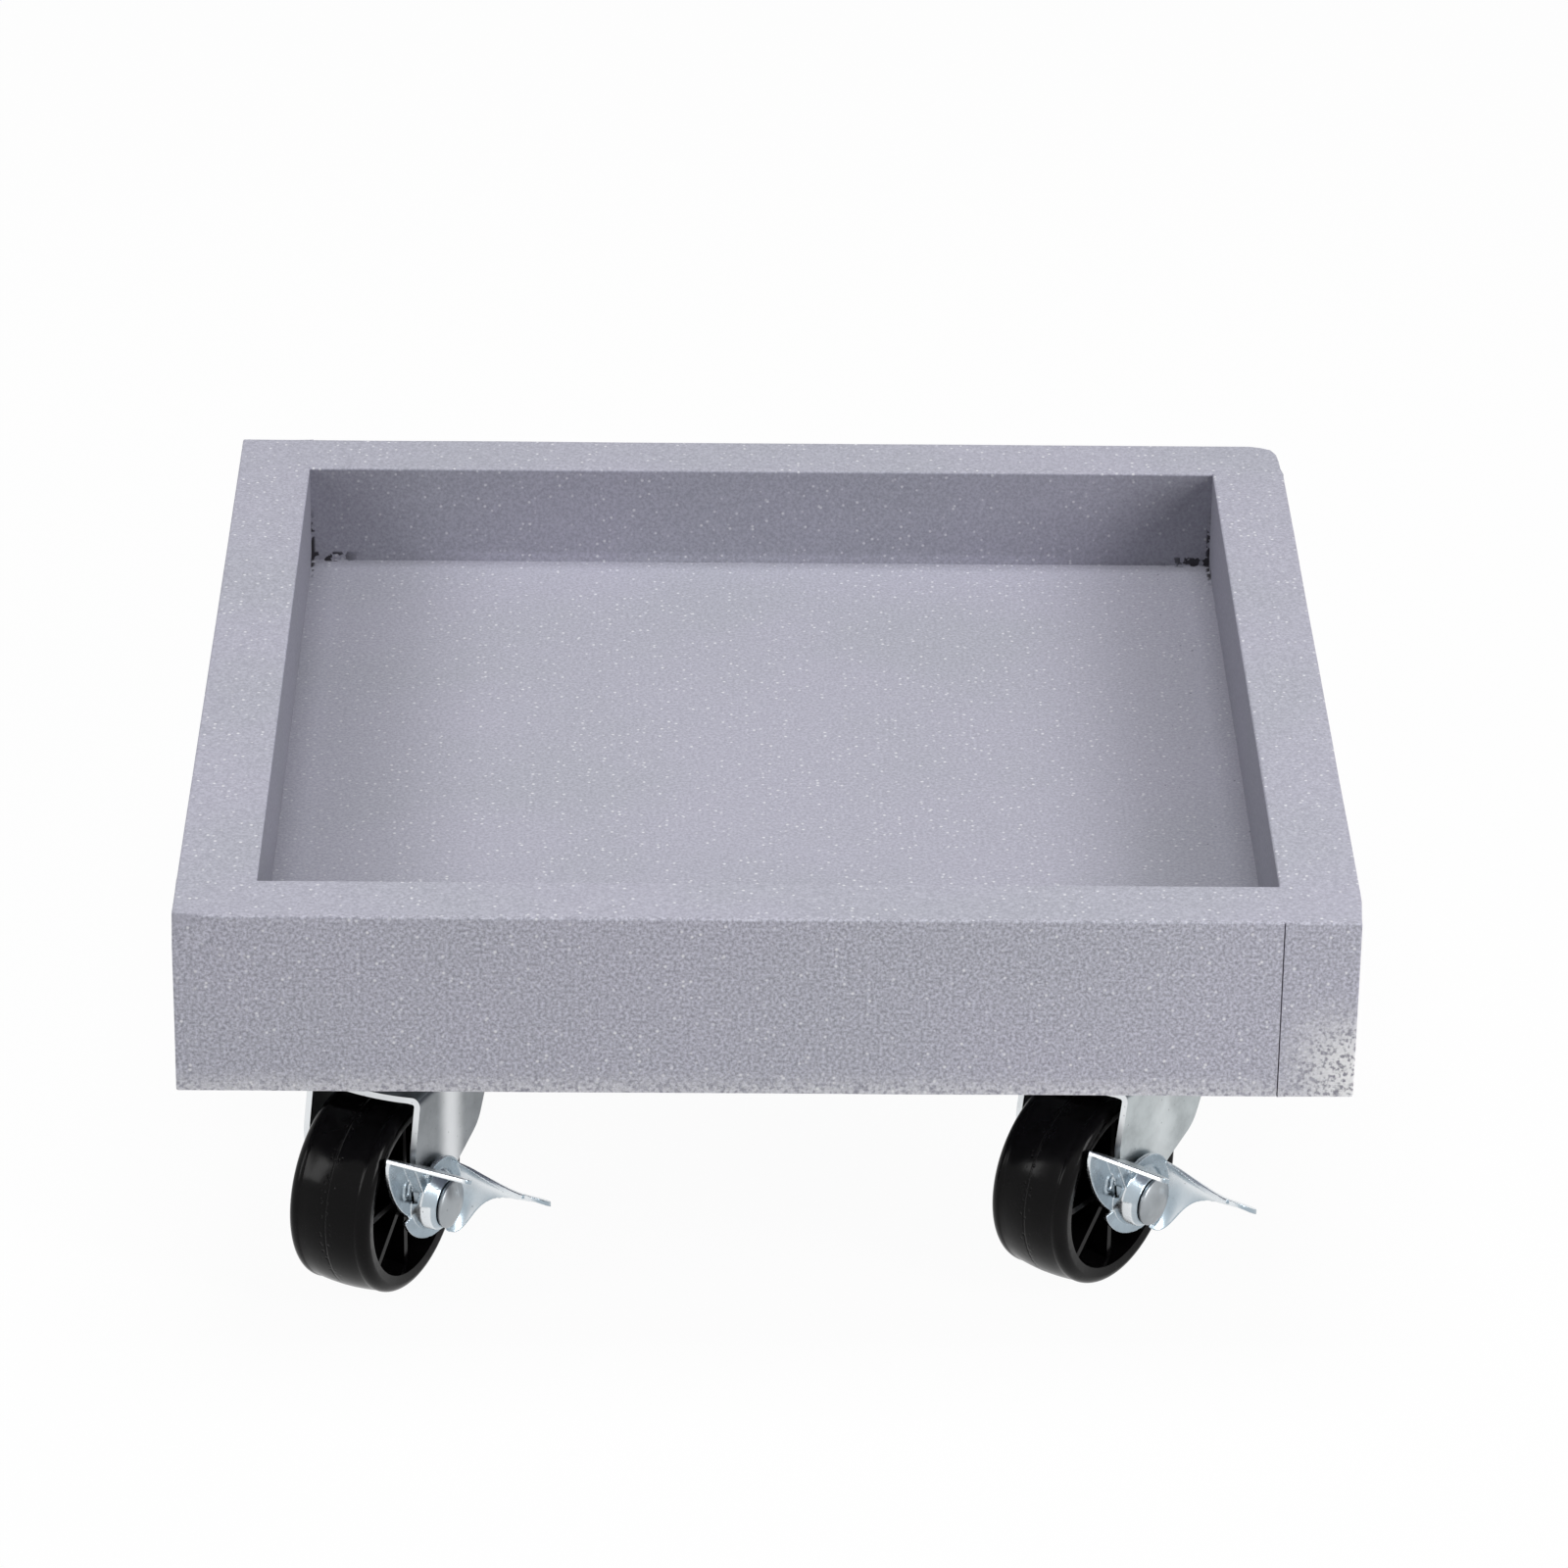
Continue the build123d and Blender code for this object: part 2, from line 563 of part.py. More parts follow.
def lever_fan():
    """The flat plate in front of the leg, with its pressed oval mark."""
    corner = Vector(*TAB_FRONT)
    wall = POCKET_RADIUS + LEVER_SHEET
    notch_angle = radians(FAN_NOTCH_ANGLE)
    notch = Vector(wall * cos(notch_angle), wall * sin(notch_angle))
    slope = radians(TAB_SLOPE)
    inner = corner + Vector(cos(slope), -sin(slope)) * (TAB_STEP + LEVER_SHEET)
    face = make_face([
        Spline(corner, *FAN_EDGE, notch),
        Polyline(notch, (-POCKET_RADIUS, 0), (-FAN_BACK, FAN_BACK), (inner.X, inner.Y), (corner.X, corner.Y)),
    ])
    plate = Pos(0, 0, BRIM_IN) * extrude(face, LEVER_SHEET) - rod(POCKET_RADIUS, 0, BRIM_OUT + 1)
    ridge = SlotOverall(EMBOSS_LENGTH, EMBOSS_WIDTH)
    ridge -= SlotOverall(EMBOSS_LENGTH - 2 * EMBOSS_LINE, EMBOSS_WIDTH - 2 * EMBOSS_LINE)
    return plate + Pos(*EMBOSS_PLACE, BRIM_OUT) * Rot(0, 0, EMBOSS_TURN) * extrude(ridge, EMBOSS_HEIGHT)


def lever_tab():
    """The front foot tab, bent straight out from the top edge of the fan."""
    slope = radians(TAB_SLOPE)
    plane = Plane(origin=(*TAB_FRONT, 0), x_dir=(0, 0, 1), z_dir=(sin(slope), cos(slope), 0))
    far = BRIM_IN + TAB_WIDTH
    neck = DISC_OUT + DISC_DISH + 2 * LEVER_SHEET
    points = [
        (BRIM_IN, 0),
        (far, 0),
        (far, TAB_STEP / 2),
        (neck + TAB_STEP / 2, TAB_DEPTH - TAB_STEP / 2),
        (neck, TAB_DEPTH),
        (DISC_IN, TAB_DEPTH),
        (DISC_IN, TAB_STEP),
        (BRIM_IN, TAB_STEP),
    ]
    face = make_face(Polyline(*points, close=True))
    face = fillet(face.vertices().sort_by(Axis.X)[-2:], TAB_CORNER)
    web_root = DISC_RADIUS * cos(radians(DISC_REACH))
    web = Pos(0, 0, DISC_IN) * extrude(make_face(Polyline(*tab_web_corners(web_root), close=True)), LEVER_SHEET)
    return plane * extrude(face, -LEVER_SHEET) + web


def tab_web_corners(root):
    """The corners of the web that joins the tab's back edge to the flange."""
    slope = radians(TAB_SLOPE)
    corner = Vector(*TAB_FRONT)
    near = corner + Vector(cos(slope), -sin(slope)) * (TAB_STEP + LEVER_SHEET)
    far = corner + Vector(cos(slope), -sin(slope)) * TAB_DEPTH
    drop = Vector(0, -LEVER_SHEET / 2)
    base = DISC_RADIUS * sin(radians(DISC_REACH)) - LEVER_SHEET
    return [near + drop, far + drop, Vector(0, base), Vector(root, base)]


def lever_pedal():
    """The rear foot tab: it leaves the flange steep and full, and flattens outward to its round tip."""
    root = DISC_IN + LEVER_SHEET
    reach = PEDAL_REACH - root

    def section(share, top, low, bulge):
        top = Vector(*top)
        low = Vector(*low)
        across = (low - top).normalized()
        out = Vector(-across.Y, across.X)
        middle = (top + low) * 0.5 + out * bulge
        inner = out * -LEVER_SHEET
        lines = [
            ThreePointArc(top, middle, low),
            Line(low, low + inner),
            ThreePointArc(low + inner, middle + inner, top + inner),
            Line(top + inner, top),
        ]
        return Pos(0, 0, root + share * reach) * make_face(lines)

    blade = loft([section(*row) for row in PEDAL_SECTIONS])
    middle = PEDAL_SECTIONS[-1][1][0] + PEDAL_TIP_ROUND
    tip = Rot(90, 0, 0) * Cylinder(PEDAL_TIP_ROUND, 6 * WHEEL_DIAMETER)
    tip = Pos(middle, 0, PEDAL_REACH - PEDAL_TIP_ROUND) * tip
    keep = Box(6 * WHEEL_DIAMETER, 6 * WHEEL_DIAMETER, 2 * (PEDAL_REACH - PEDAL_TIP_ROUND)) + tip
    return blade & keep


def brake_lever():
    """The whole stamped lever, with the small pierced window beside the rivet head."""
    lever = lever_dome() + lever_disc() + lever_lobe() + lever_fan() + lever_tab() + lever_pedal()
    window = extrude(make_face(Polyline(*WINDOW, close=True)), RING_OUT)
    return lever - window


# Assembly

def export(shape, name):
    """Write one node, with its solids gathered into one compound."""
    solids = shape.solids()
    export_step(Compound(children=[s for s in solids]), f"parts/{name}.step")


def export_tray():
    """The four rails, the floor panel, the dowels and the screws under it."""
    front = rail()
    for index, name in enumerate(("front_rail", "right_rail", "back_rail", "left_rail")):
        export(Rot(0, 0, 90 * index) * front, name)
    export(floor_panel(), "floor_panel")
    radius = DOWEL_DIAMETER / 2
    export(Compound(children=all_round(corner_dowel(radius, DOWEL_LENGTH))), "corner_dowels")
    export(Compound(children=all_round(panel_dowel(radius, DOWEL_LENGTH))), "panel_dowels")
    screw = mounting_screw()
    screws = [Pos(x + dx, y + dy) * screw for _, x, y, _, _ in caster_places() for dx, dy in screw_grid()]
    export(Compound(children=screws), "caster_screws")


def export_casters():
    """Every caster's pieces, placed under the tray and turned to its heading."""
    fixed = {
        "top_plate": top_plate(),
        "king_rivet": king_rivet(),
        "lower_race": lower_race(),
    }
    turning = {
        "upper_balls": ball_ring(BALL_RADIUS, BALL_PITCH_RADIUS, BALL_HEIGHT),
        "lower_balls": ball_ring(LOW_BALL_RADIUS, LOW_BALL_PITCH_RADIUS, LOW_BALL_HEIGHT),
        "fork": fork(),
        "axle_sleeve": AXLE_PLANE * axle_sleeve(),
        "axle_washer": AXLE_PLANE * axle_washer(),
        "wheel": AXLE_PLANE * wheel(),
    }
    braked_only = {
        "axle_rivet": AXLE_PLANE * axle_rivet(HEAD_SEAT),
        "brake_washer": AXLE_PLANE * brake_washer(),
        "brake_lever": AXLE_PLANE * brake_lever(),
    }
    plain_only = {"axle_rivet": AXLE_PLANE * axle_rivet(FORK_HALF_OUT)}
    for name, x, y, heading, braked in caster_places():
        for piece, shape in fixed.items():
            export(Pos(x, y, 0) * shape, f"{name}_{piece}")
        pieces = {**turning, **(braked_only if braked else plain_only)}
        for piece, shape in pieces.items():
            export(Pos(x, y, 0) * Rot(0, 0, heading) * shape, f"{name}_{piece}")


os.makedirs("parts", exist_ok=True)
export_tray()
export_casters()
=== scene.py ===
import json
import math

import bmesh
import bpy
from mathutils import Matrix, Vector, noise


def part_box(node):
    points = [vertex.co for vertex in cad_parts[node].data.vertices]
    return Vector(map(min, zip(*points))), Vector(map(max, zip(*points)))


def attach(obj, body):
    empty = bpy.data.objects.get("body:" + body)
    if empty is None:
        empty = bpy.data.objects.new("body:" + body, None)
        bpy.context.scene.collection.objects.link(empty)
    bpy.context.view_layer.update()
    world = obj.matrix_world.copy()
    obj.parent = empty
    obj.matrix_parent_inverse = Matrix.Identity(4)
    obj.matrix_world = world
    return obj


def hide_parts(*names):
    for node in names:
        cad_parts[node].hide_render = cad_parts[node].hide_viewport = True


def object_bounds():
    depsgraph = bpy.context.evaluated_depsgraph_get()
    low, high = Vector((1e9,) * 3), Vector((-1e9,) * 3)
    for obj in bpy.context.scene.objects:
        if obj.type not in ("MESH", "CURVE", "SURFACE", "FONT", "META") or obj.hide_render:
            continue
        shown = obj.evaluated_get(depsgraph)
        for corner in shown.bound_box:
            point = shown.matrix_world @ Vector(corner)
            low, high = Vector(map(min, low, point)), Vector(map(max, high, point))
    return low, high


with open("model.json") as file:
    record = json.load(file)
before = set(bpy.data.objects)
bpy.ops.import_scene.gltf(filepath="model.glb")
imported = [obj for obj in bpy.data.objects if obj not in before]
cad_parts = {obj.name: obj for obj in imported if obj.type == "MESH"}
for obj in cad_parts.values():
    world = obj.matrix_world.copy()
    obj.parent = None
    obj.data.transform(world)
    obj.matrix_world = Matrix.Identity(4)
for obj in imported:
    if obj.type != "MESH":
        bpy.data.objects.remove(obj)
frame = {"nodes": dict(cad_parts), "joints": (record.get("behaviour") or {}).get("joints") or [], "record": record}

bl_info = {
    "name": "Rolling Plant Stand",
    "version": (1, 0, 0),
    "blender": (4, 5, 0),
    "location": "View3D > Sidebar > Plant Stand",
    "description": "Dresses a low painted plant stand on four small casters, two of them with foot brakes",
    "category": "Object",
}

MM = 0.001
CAD_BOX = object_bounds()
CASTERS = ("front_left", "front_right", "rear_left", "rear_right")
BRAKED = ("front_left", "front_right")

# Levels and half widths of the tray: the boards stand round a square well
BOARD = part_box("front_rail")[1].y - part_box("front_rail")[0].y
HALF_SIDE = CAD_BOX[1][0]
WELL_HALF = HALF_SIDE - BOARD
RIM_TOP = CAD_BOX[1][2]
RIM_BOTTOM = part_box("front_rail")[0].z
WELL_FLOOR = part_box("floor_panel")[1].z
# Where the walls of the well start to look like walls, clear of the floor's unevenness
WELL_FOOT = WELL_FLOOR + 1.5 * MM
JOINT_STEP = 0.05 * MM

# Middle of the painted highlight down a fork leg, in mm back from the axle
LEG_PAINTED_HIGHLIGHT = 10.5
# Step that joins the lever's front plate to its dome: corners back and up from the axle, then two levels
# along the axle, in mm
PRESSED_STEP = (
    (((-6.2, 4.6), (-5.25, 5.1), (-9.8, 14.4), (-10.7, 13.9)), 13.1, 17.0),
    (((-6.2, 4.6), (-2.5, 5.0), (-2.5, 8.8), (-5.9, 8.8), (-9.8, 14.4), (-10.7, 13.9)), 15.9, 17.0),
)
JOINTS = {joint["name"]: joint for joint in frame["joints"]}


def linear(code):
    """An sRGB hex colour as linear red, green, blue and alpha."""
    parts = [int(code[i:i + 2], 16) / 255 for i in (1, 3, 5)]
    return tuple(c / 12.92 if c <= 0.04045 else ((c + 0.055) / 1.055) ** 2.4 for c in parts) + (1.0,)


# Settings that a user would change

class TraySettings(bpy.types.PropertyGroup):
    """The painted boards."""
    paint: bpy.props.FloatVectorProperty(
        name="Paint", description="Lilac-grey matt paint", subtype="COLOR", size=4,
        min=0, max=1, default=linear("#B6B5C4"))
    fleck: bpy.props.FloatVectorProperty(
        name="Flecks", description="Pale flecks in the paint", subtype="COLOR", size=4,
        min=0, max=1, default=linear("#EDEDF2"))
    edge: bpy.props.FloatProperty(
        name="Edge rounding", description="Radius of the sanded outer edges", unit="LENGTH",
        subtype="DISTANCE", default=0.5 * MM)
    seam: bpy.props.FloatProperty(
        name="Open seam", description="Width of the one seam that the paint leaves open", unit="LENGTH",
        subtype="DISTANCE", default=0.3 * MM)
    grid: bpy.props.FloatProperty(
        name="Mesh spacing", description="Distance between the cuts that let a board be uneven",
        unit="LENGTH", subtype="DISTANCE", default=4.0 * MM)
    uneven: bpy.props.FloatProperty(
        name="Unevenness", description="How far sanding leaves the faces from flat", unit="LENGTH",
        subtype="DISTANCE", default=0.09 * MM)


class CasterSettings(bpy.types.PropertyGroup):
    """The four casters."""
    zinc: bpy.props.FloatVectorProperty(
        name="Zinc", description="Zinc plated forks, plates and rivets", subtype="COLOR", size=4,
        min=0, max=1, default=linear("#A3A8AC"))
    blue_zinc: bpy.props.FloatVectorProperty(
        name="Blue zinc", description="Blue passivated zinc of the brake levers", subtype="COLOR", size=4,
        min=0, max=1, default=linear("#A4B2BC"))
    plastic: bpy.props.FloatVectorProperty(
        name="Wheel plastic", description="Black moulded wheels", subtype="COLOR", size=4,
        min=0, max=1, default=linear("#0B0A0B"))


class StageSettings(bpy.types.PropertyGroup):
    """Floor, light and camera."""
    floor: bpy.props.FloatVectorProperty(
        name="Floor", description="Pale studio floor", subtype="COLOR", size=4,
        min=0, max=1, default=linear("#FAFAFA"))
    white: bpy.props.FloatProperty(
        name="White share", description="Share of plain white in the floor that the camera sees",
        default=0.96, min=0, max=1)
    world: bpy.props.FloatProperty(
        name="Sky level", description="Plain light from all sides", default=0.08, min=0)
    above: bpy.props.FloatProperty(
        name="Lamp above", description="Power of the large lamp above", unit="POWER",
        default=24.0, min=0)
    left: bpy.props.FloatProperty(
        name="Left softbox", description="Power of the tall softbox at the left", unit="POWER",
        default=3.4, min=0)
    right: bpy.props.FloatProperty(
        name="Right softbox", description="Power of the tall softbox at the right", unit="POWER",
        default=7.0, min=0)


# Shader and geometry nodes

def add(tree, kind, inputs=None, **settings):
    """Add one node: settings are its properties, inputs are numbers for its sockets or sockets to link."""
    made = tree.nodes.new(kind)
    for name, value in settings.items():
        setattr(made, name, value)
    for key, value in (inputs or {}).items():
        if isinstance(value, bpy.types.NodeSocket):
            tree.links.new(value, made.inputs[key])
        else:
            made.inputs[key].default_value = value
    return made


def new_material(name, bsdf_inputs):
    """A material with one Principled shader, and its tree."""
    material = bpy.data.materials.new(name)
    material.use_nodes = True
    tree = material.node_tree
    tree.nodes.clear()
    shader = add(tree, "ShaderNodeBsdfPrincipled", bsdf_inputs)
    add(tree, "ShaderNodeOutputMaterial", {"Surface": shader.outputs[0]})
    return material, tree, shader


def per_mm(spacing):
    """Pattern scale for features that far apart, in millimetres, on coordinates in metres."""
    return 1000.0 / spacing


def ramp(tree, value, low, high):
    """A smooth step from 0 at low to 1 at high."""
    return add(tree, "ShaderNodeMapRange", {"Value": value, "From Min": low, "From Max": high},
               interpolation_type="SMOOTHSTEP").outputs[0]


def mix(tree, factor, a, b):
    """One colour passing into another."""
    return add(tree, "ShaderNodeMix", {0: factor, 6: a, 7: b}, data_type="RGBA").outputs[2]


def math_node(tree, operation, a, b):
    """Two numbers joined by an operation."""
    return add(tree, "ShaderNodeMath", {0: a, 1: b}, operation=operation).outputs[0]


def product(tree, first, *others):
    """Numbers multiplied together."""
    for value in others:
        first = math_node(tree, "MULTIPLY", first, value)
    return first


def seen_by_eye(tree):
    """1 where the camera looks at a surface, also in a mirror or through glass, and 0 for light."""
    rays = add(tree, "ShaderNodeLightPath")
    seen = math_node(tree, "MAXIMUM", rays.outputs["Is Camera Ray"], rays.outputs["Is Glossy Ray"])
    return math_node(tree, "MAXIMUM", seen, rays.outputs["Is Transmission Ray"])


# Finishes


def matt_paint():
    """Sprayed matt paint on sanded board: a soft lilac grey, grainy close up, worn in places."""
    settings = bpy.context.scene.stand_tray
    material, tree, shader = new_material("matt_sprayed_paint", {"Roughness": 0.72, "IOR": 1.46})
    place = add(tree, "ShaderNodeTexCoord").outputs["Object"]
    axes = add(tree, "ShaderNodeSeparateXYZ", {0: place}).outputs
    front = ramp(tree, axes[1], 2 * MM - HALF_SIDE, 0.5 * MM - HALF_SIDE)
    # Cloudy tone over some centimetres, from uneven coats
    cloud = add(tree, "ShaderNodeTexNoise", {"Vector": place, "Scale": per_mm(60), "Detail": 3.0})
    tone = mix(tree, ramp(tree, cloud.outputs[0], 0.35, 0.65), settings.paint, linear("#B1B2BE"))
    # Sprayed grain, drawn at 0.8 mm so that it shows, and rougher on the front
    grain = add(tree, "ShaderNodeTexNoise",
                {"Vector": place, "Scale": per_mm(0.8), "Detail": 3.0, "Roughness": 0.7}).outputs[0]
    shade = mix(tree, ramp(tree, grain, 0.3, 0.7), linear("#737280"), linear("#F2F2FF"))
    depth = math_node(tree, "ADD", product(tree, front, 0.28), 0.22)
    tone = mix(tree, depth, tone, shade)
    tone = pale_flecks(tree, place, tone, settings.fleck)
    tone = pinholes(tree, place, axes, tone)
    # Painted shade in the well
    tone = painted_shade_in_well(tree, place, axes, tone)
    # Painted shade in the gaps of the two back inner corners
    tone = painted_shade_in_corner_gaps(tree, place, axes, tone)
    # Coarse, half bare wood where the paint didn't hold
    rough = poorly_painted(tree, axes, front)
    coarse = add(tree, "ShaderNodeTexNoise",
                 {"Vector": place, "Scale": per_mm(0.9), "Detail": 2.0}).outputs[0]
    bare = mix(tree, ramp(tree, coarse, 0.34, 0.56), linear("#85838D"), linear("#FFFFFF"))
    tone = mix(tree, product(tree, rough, 0.85), tone, bare)
    tree.links.new(tone, shader.inputs["Base Color"])
    height = math_node(tree, "ADD", grain, product(tree, coarse, rough))
    bump = add(tree, "ShaderNodeBump", {"Height": height, "Strength": 0.4, "Distance": 0.2 * MM})
    tree.links.new(bump.outputs[0], shader.inputs["Normal"])
    return material


def pale_flecks(tree, place, tone, pale):
    """The tone with pale flecks over half a millimetre wide, each its own strength."""
    dots = add(tree, "ShaderNodeTexVoronoi", {"Vector": place, "Scale": per_mm(2.0)})
    chance = add(tree, "ShaderNodeSeparateXYZ", {0: dots.outputs["Color"]}).outputs[0]
    strength = product(tree, ramp(tree, chance, 0.2, 0.9), 0.9)
    fleck = ramp(tree, dots.outputs["Distance"], 0.26, 0.12)
    return mix(tree, product(tree, fleck, strength), tone, pale)


def pinholes(tree, place, axes, tone):
    """The tone with dark pinholes, crowded on the right of the well's floor."""
    pins = add(tree, "ShaderNodeTexVoronoi", {"Vector": place, "Scale": per_mm(3.2)})
    right = ramp(tree, axes[0], 80 * MM, 115 * MM)
    low = ramp(tree, axes[2], WELL_FOOT, WELL_FLOOR + 0.5 * MM)
    reach = add(tree, "ShaderNodeMapRange",
                {"Value": product(tree, right, low), "To Min": 0.02, "To Max": 0.11}).outputs[0]
    luck = add(tree, "ShaderNodeSeparateXYZ", {0: pins.outputs["Color"]}).outputs[1]
    pin = math_node(tree, "LESS_THAN", pins.outputs["Distance"], product(tree, reach, luck))
    return mix(tree, product(tree, pin, 0.75), tone, linear("#45434C"))


def painted_shade_in_well(tree, place, axes, tone):
    """The tone with painted shade: darker towards the sides of the well and on its walls."""
    aside = add(tree, "ShaderNodeVectorMath", {0: place}, operation="ABSOLUTE").outputs[0]
    apart = add(tree, "ShaderNodeSeparateXYZ", {0: aside}).outputs
    side = ramp(tree, apart[0], WELL_HALF - 58 * MM, WELL_HALF - 2 * MM)
    wall = ramp(tree, axes[2], WELL_FOOT, WELL_FOOT + 2 * MM)
    side = math_node(tree, "MAXIMUM", side, product(tree, wall, 0.45))
    inside = [math_node(tree, "LESS_THAN", apart[way], WELL_HALF + 0.1 * MM) for way in (0, 1)]
    below_rim = math_node(tree, "LESS_THAN", axes[2], RIM_TOP - 0.6 * MM)
    # Painted shade: the well's sides and walls are mixed towards a dark grey
    return mix(tree, product(tree, side, *inside, below_rim, 0.5), tone, linear("#6B6B75"))


def painted_shade_in_corner_gaps(tree, place, axes, tone):
    """The tone with ragged near-black patches along the inner corners at the back: the small gaps there are real,
    and their darkness is painted shade.
    """
    aside = add(tree, "ShaderNodeVectorMath", {0: place}, operation="ABSOLUTE").outputs[0]
    apart = add(tree, "ShaderNodeSeparateXYZ", {0: aside}).outputs
    corner = (WELL_HALF, WELL_HALF, WELL_FOOT)
    reached = add(tree, "ShaderNodeVectorMath", {0: aside, 1: corner}, operation="DISTANCE")
    near = ramp(tree, reached.outputs["Value"], 15 * MM, 6 * MM)
    # Distance to the nearest of the three lines in which floor, side wall and back wall meet
    rise = math_node(tree, "SUBTRACT", axes[2], WELL_FOOT)
    to_side = math_node(tree, "SUBTRACT", WELL_HALF, apart[0])
    to_back = math_node(tree, "SUBTRACT", WELL_HALF, apart[1])
    nearest = math_node(tree, "MINIMUM", to_side, to_back)
    farthest = math_node(tree, "MAXIMUM", to_side, to_back)
    to_edge = math_node(tree, "MAXIMUM", nearest, math_node(tree, "MINIMUM", farthest, rise))
    behind = math_node(tree, "GREATER_THAN", axes[1], 0.0)
    inside = math_node(tree, "LESS_THAN", apart[1], WELL_HALF + MM)
    rags = add(tree, "ShaderNodeTexNoise",
               {"Vector": place, "Scale": per_mm(3.0), "Detail": 4.0}).outputs[0]
    gap_shade = product(tree, ramp(tree, rags, 0.48, 0.52), near, ramp(tree, to_edge, 1.3 * MM, 0.5 * MM))
    # Painted shade: the corner gaps are mixed towards near black
    return mix(tree, product(tree, gap_shade, behind, inside), tone, linear("#2E2C33"))


def poorly_painted(tree, axes, front):
    """How badly the front took the paint: low on the right board's end grain, and along the bottom."""
    across = ramp(tree, axes[0], HALF_SIDE - 24 * MM, HALF_SIDE)
    down = ramp(tree, axes[2], RIM_BOTTOM + 30 * MM, RIM_BOTTOM + 8 * MM)
    along_bottom = ramp(tree, axes[2], RIM_BOTTOM + 7 * MM, RIM_BOTTOM)
    return math_node(tree, "MAXIMUM", product(tree, across, down, front),
                     product(tree, along_bottom, front, 0.45))


def zinc_plate(name, colour, roughness, leg_highlight=0.0, edge_highlight=0.0):
    """Bright zinc on pressed steel: cool, faintly cloudy, with small pits.

    The last two arguments set how strongly a painted highlight, with painted shade beside it, runs down a fork
    leg, and how strongly faces turned edge on are painted pale as a highlight.
    """
    material, tree, shader = new_material(name, {"Metallic": 1.0})
    place = add(tree, "ShaderNodeTexCoord").outputs["Object"]
    cloud = add(tree, "ShaderNodeTexNoise",
                {"Vector": place, "Scale": per_mm(9), "Detail": 5.0, "Roughness": 0.65})
    dull = mix(tree, 0.3, colour, linear("#5E6266"))
    tone = mix(tree, ramp(tree, cloud.outputs[0], 0.35, 0.7), colour, dull)
    # Painted highlight down the fork leg, with painted shade over the rest of the piece
    if leg_highlight:
        own = add(tree, "ShaderNodeAttribute", attribute_name="own_mm").outputs["Vector"]
        along = add(tree, "ShaderNodeSeparateXYZ", {0: own}).outputs[0]
        off = math_node(tree, "ABSOLUTE", math_node(tree, "SUBTRACT", along, LEG_PAINTED_HIGHLIGHT), 0.0)
        dim = mix(tree, leg_highlight * 0.6, tone, linear("#5C6064"))
        lit = mix(tree, leg_highlight, tone, linear("#F0F2F4"))
        tone = mix(tree, ramp(tree, off, 7.5, 0.5), dim, lit)
    # Painted highlight: faces turned edge on are mixed towards near white
    if edge_highlight:
        edge = add(tree, "ShaderNodeAttribute", attribute_name="edge_on").outputs["Fac"]
        tone = mix(tree, product(tree, edge, edge_highlight), tone, linear("#F4F7F9"))
    pits = add(tree, "ShaderNodeTexVoronoi", {"Vector": place, "Scale": per_mm(2.4)})
    pit = ramp(tree, pits.outputs["Distance"], 0.12, 0.05)
    tone = mix(tree, product(tree, pit, 0.5), tone, linear("#5A5D60"))
    tree.links.new(tone, shader.inputs["Base Color"])
    rough = add(tree, "ShaderNodeMapRange",
                {"Value": cloud.outputs[0], "From Min": 0.3, "From Max": 0.7,
                 "To Min": roughness, "To Max": roughness + 0.12})
    tree.links.new(rough.outputs[0], shader.inputs["Roughness"])
    skin = add(tree, "ShaderNodeTexNoise", {"Vector": place, "Scale": per_mm(0.8), "Detail": 2.0})
    height = math_node(tree, "SUBTRACT", product(tree, skin.outputs[0], 0.25), pit)
    bump = add(tree, "ShaderNodeBump", {"Height": height, "Strength": 0.25, "Distance": 0.06 * MM})
    tree.links.new(bump.outputs[0], shader.inputs["Normal"])
    return material


def moulded_plastic():
    """Moulded black polypropylene: deep black, window-like shine, small pits along the parting line."""
    settings = bpy.context.scene.stand_casters
    material, tree, shader = new_material("moulded_black_polypropylene",
                                          {"IOR": 1.49, "Specular IOR Level": 0.1})
    place = add(tree, "ShaderNodeTexCoord").outputs["Object"]
    own = add(tree, "ShaderNodeAttribute", attribute_name="own_mm").outputs["Vector"]
    along = add(tree, "ShaderNodeSeparateXYZ", {0: own}).outputs[2]
    smear = add(tree, "ShaderNodeTexNoise", {"Vector": place, "Scale": per_mm(14), "Detail": 4.0})
    tone = mix(tree, ramp(tree, smear.outputs[0], 0.45, 0.75), settings.plastic, linear("#161516"))
    tree.links.new(tone, shader.inputs["Base Color"])
    rough = add(tree, "ShaderNodeMapRange",
                {"Value": smear.outputs[0], "From Min": 0.3, "From Max": 0.7,
                 "To Min": 0.12, "To Max": 0.24})
    tree.links.new(rough.outputs[0], shader.inputs["Roughness"])
    # Parting line of the mould round the middle of the tread, with pits along it
    aside = math_node(tree, "ABSOLUTE", along, 0.0)
    line = ramp(tree, aside, 0.35, 0.1)
    middle = ramp(tree, aside, 2.2, 0.4)
    pits = add(tree, "ShaderNodeTexVoronoi", {"Vector": place, "Scale": per_mm(1.5)})
    pit = product(tree, ramp(tree, pits.outputs["Distance"], 0.35, 0.15), middle)
    marks = math_node(tree, "ADD", pit, line)
    skin = add(tree, "ShaderNodeTexNoise", {"Vector": place, "Scale": per_mm(2.5), "Detail": 3.0})
    height = math_node(tree, "SUBTRACT", product(tree, skin.outputs[0], 0.15), marks)
    bump = add(tree, "ShaderNodeBump", {"Height": height, "Strength": 0.8, "Distance": 0.2 * MM})
    tree.links.new(bump.outputs[0], shader.inputs["Normal"])
    return material


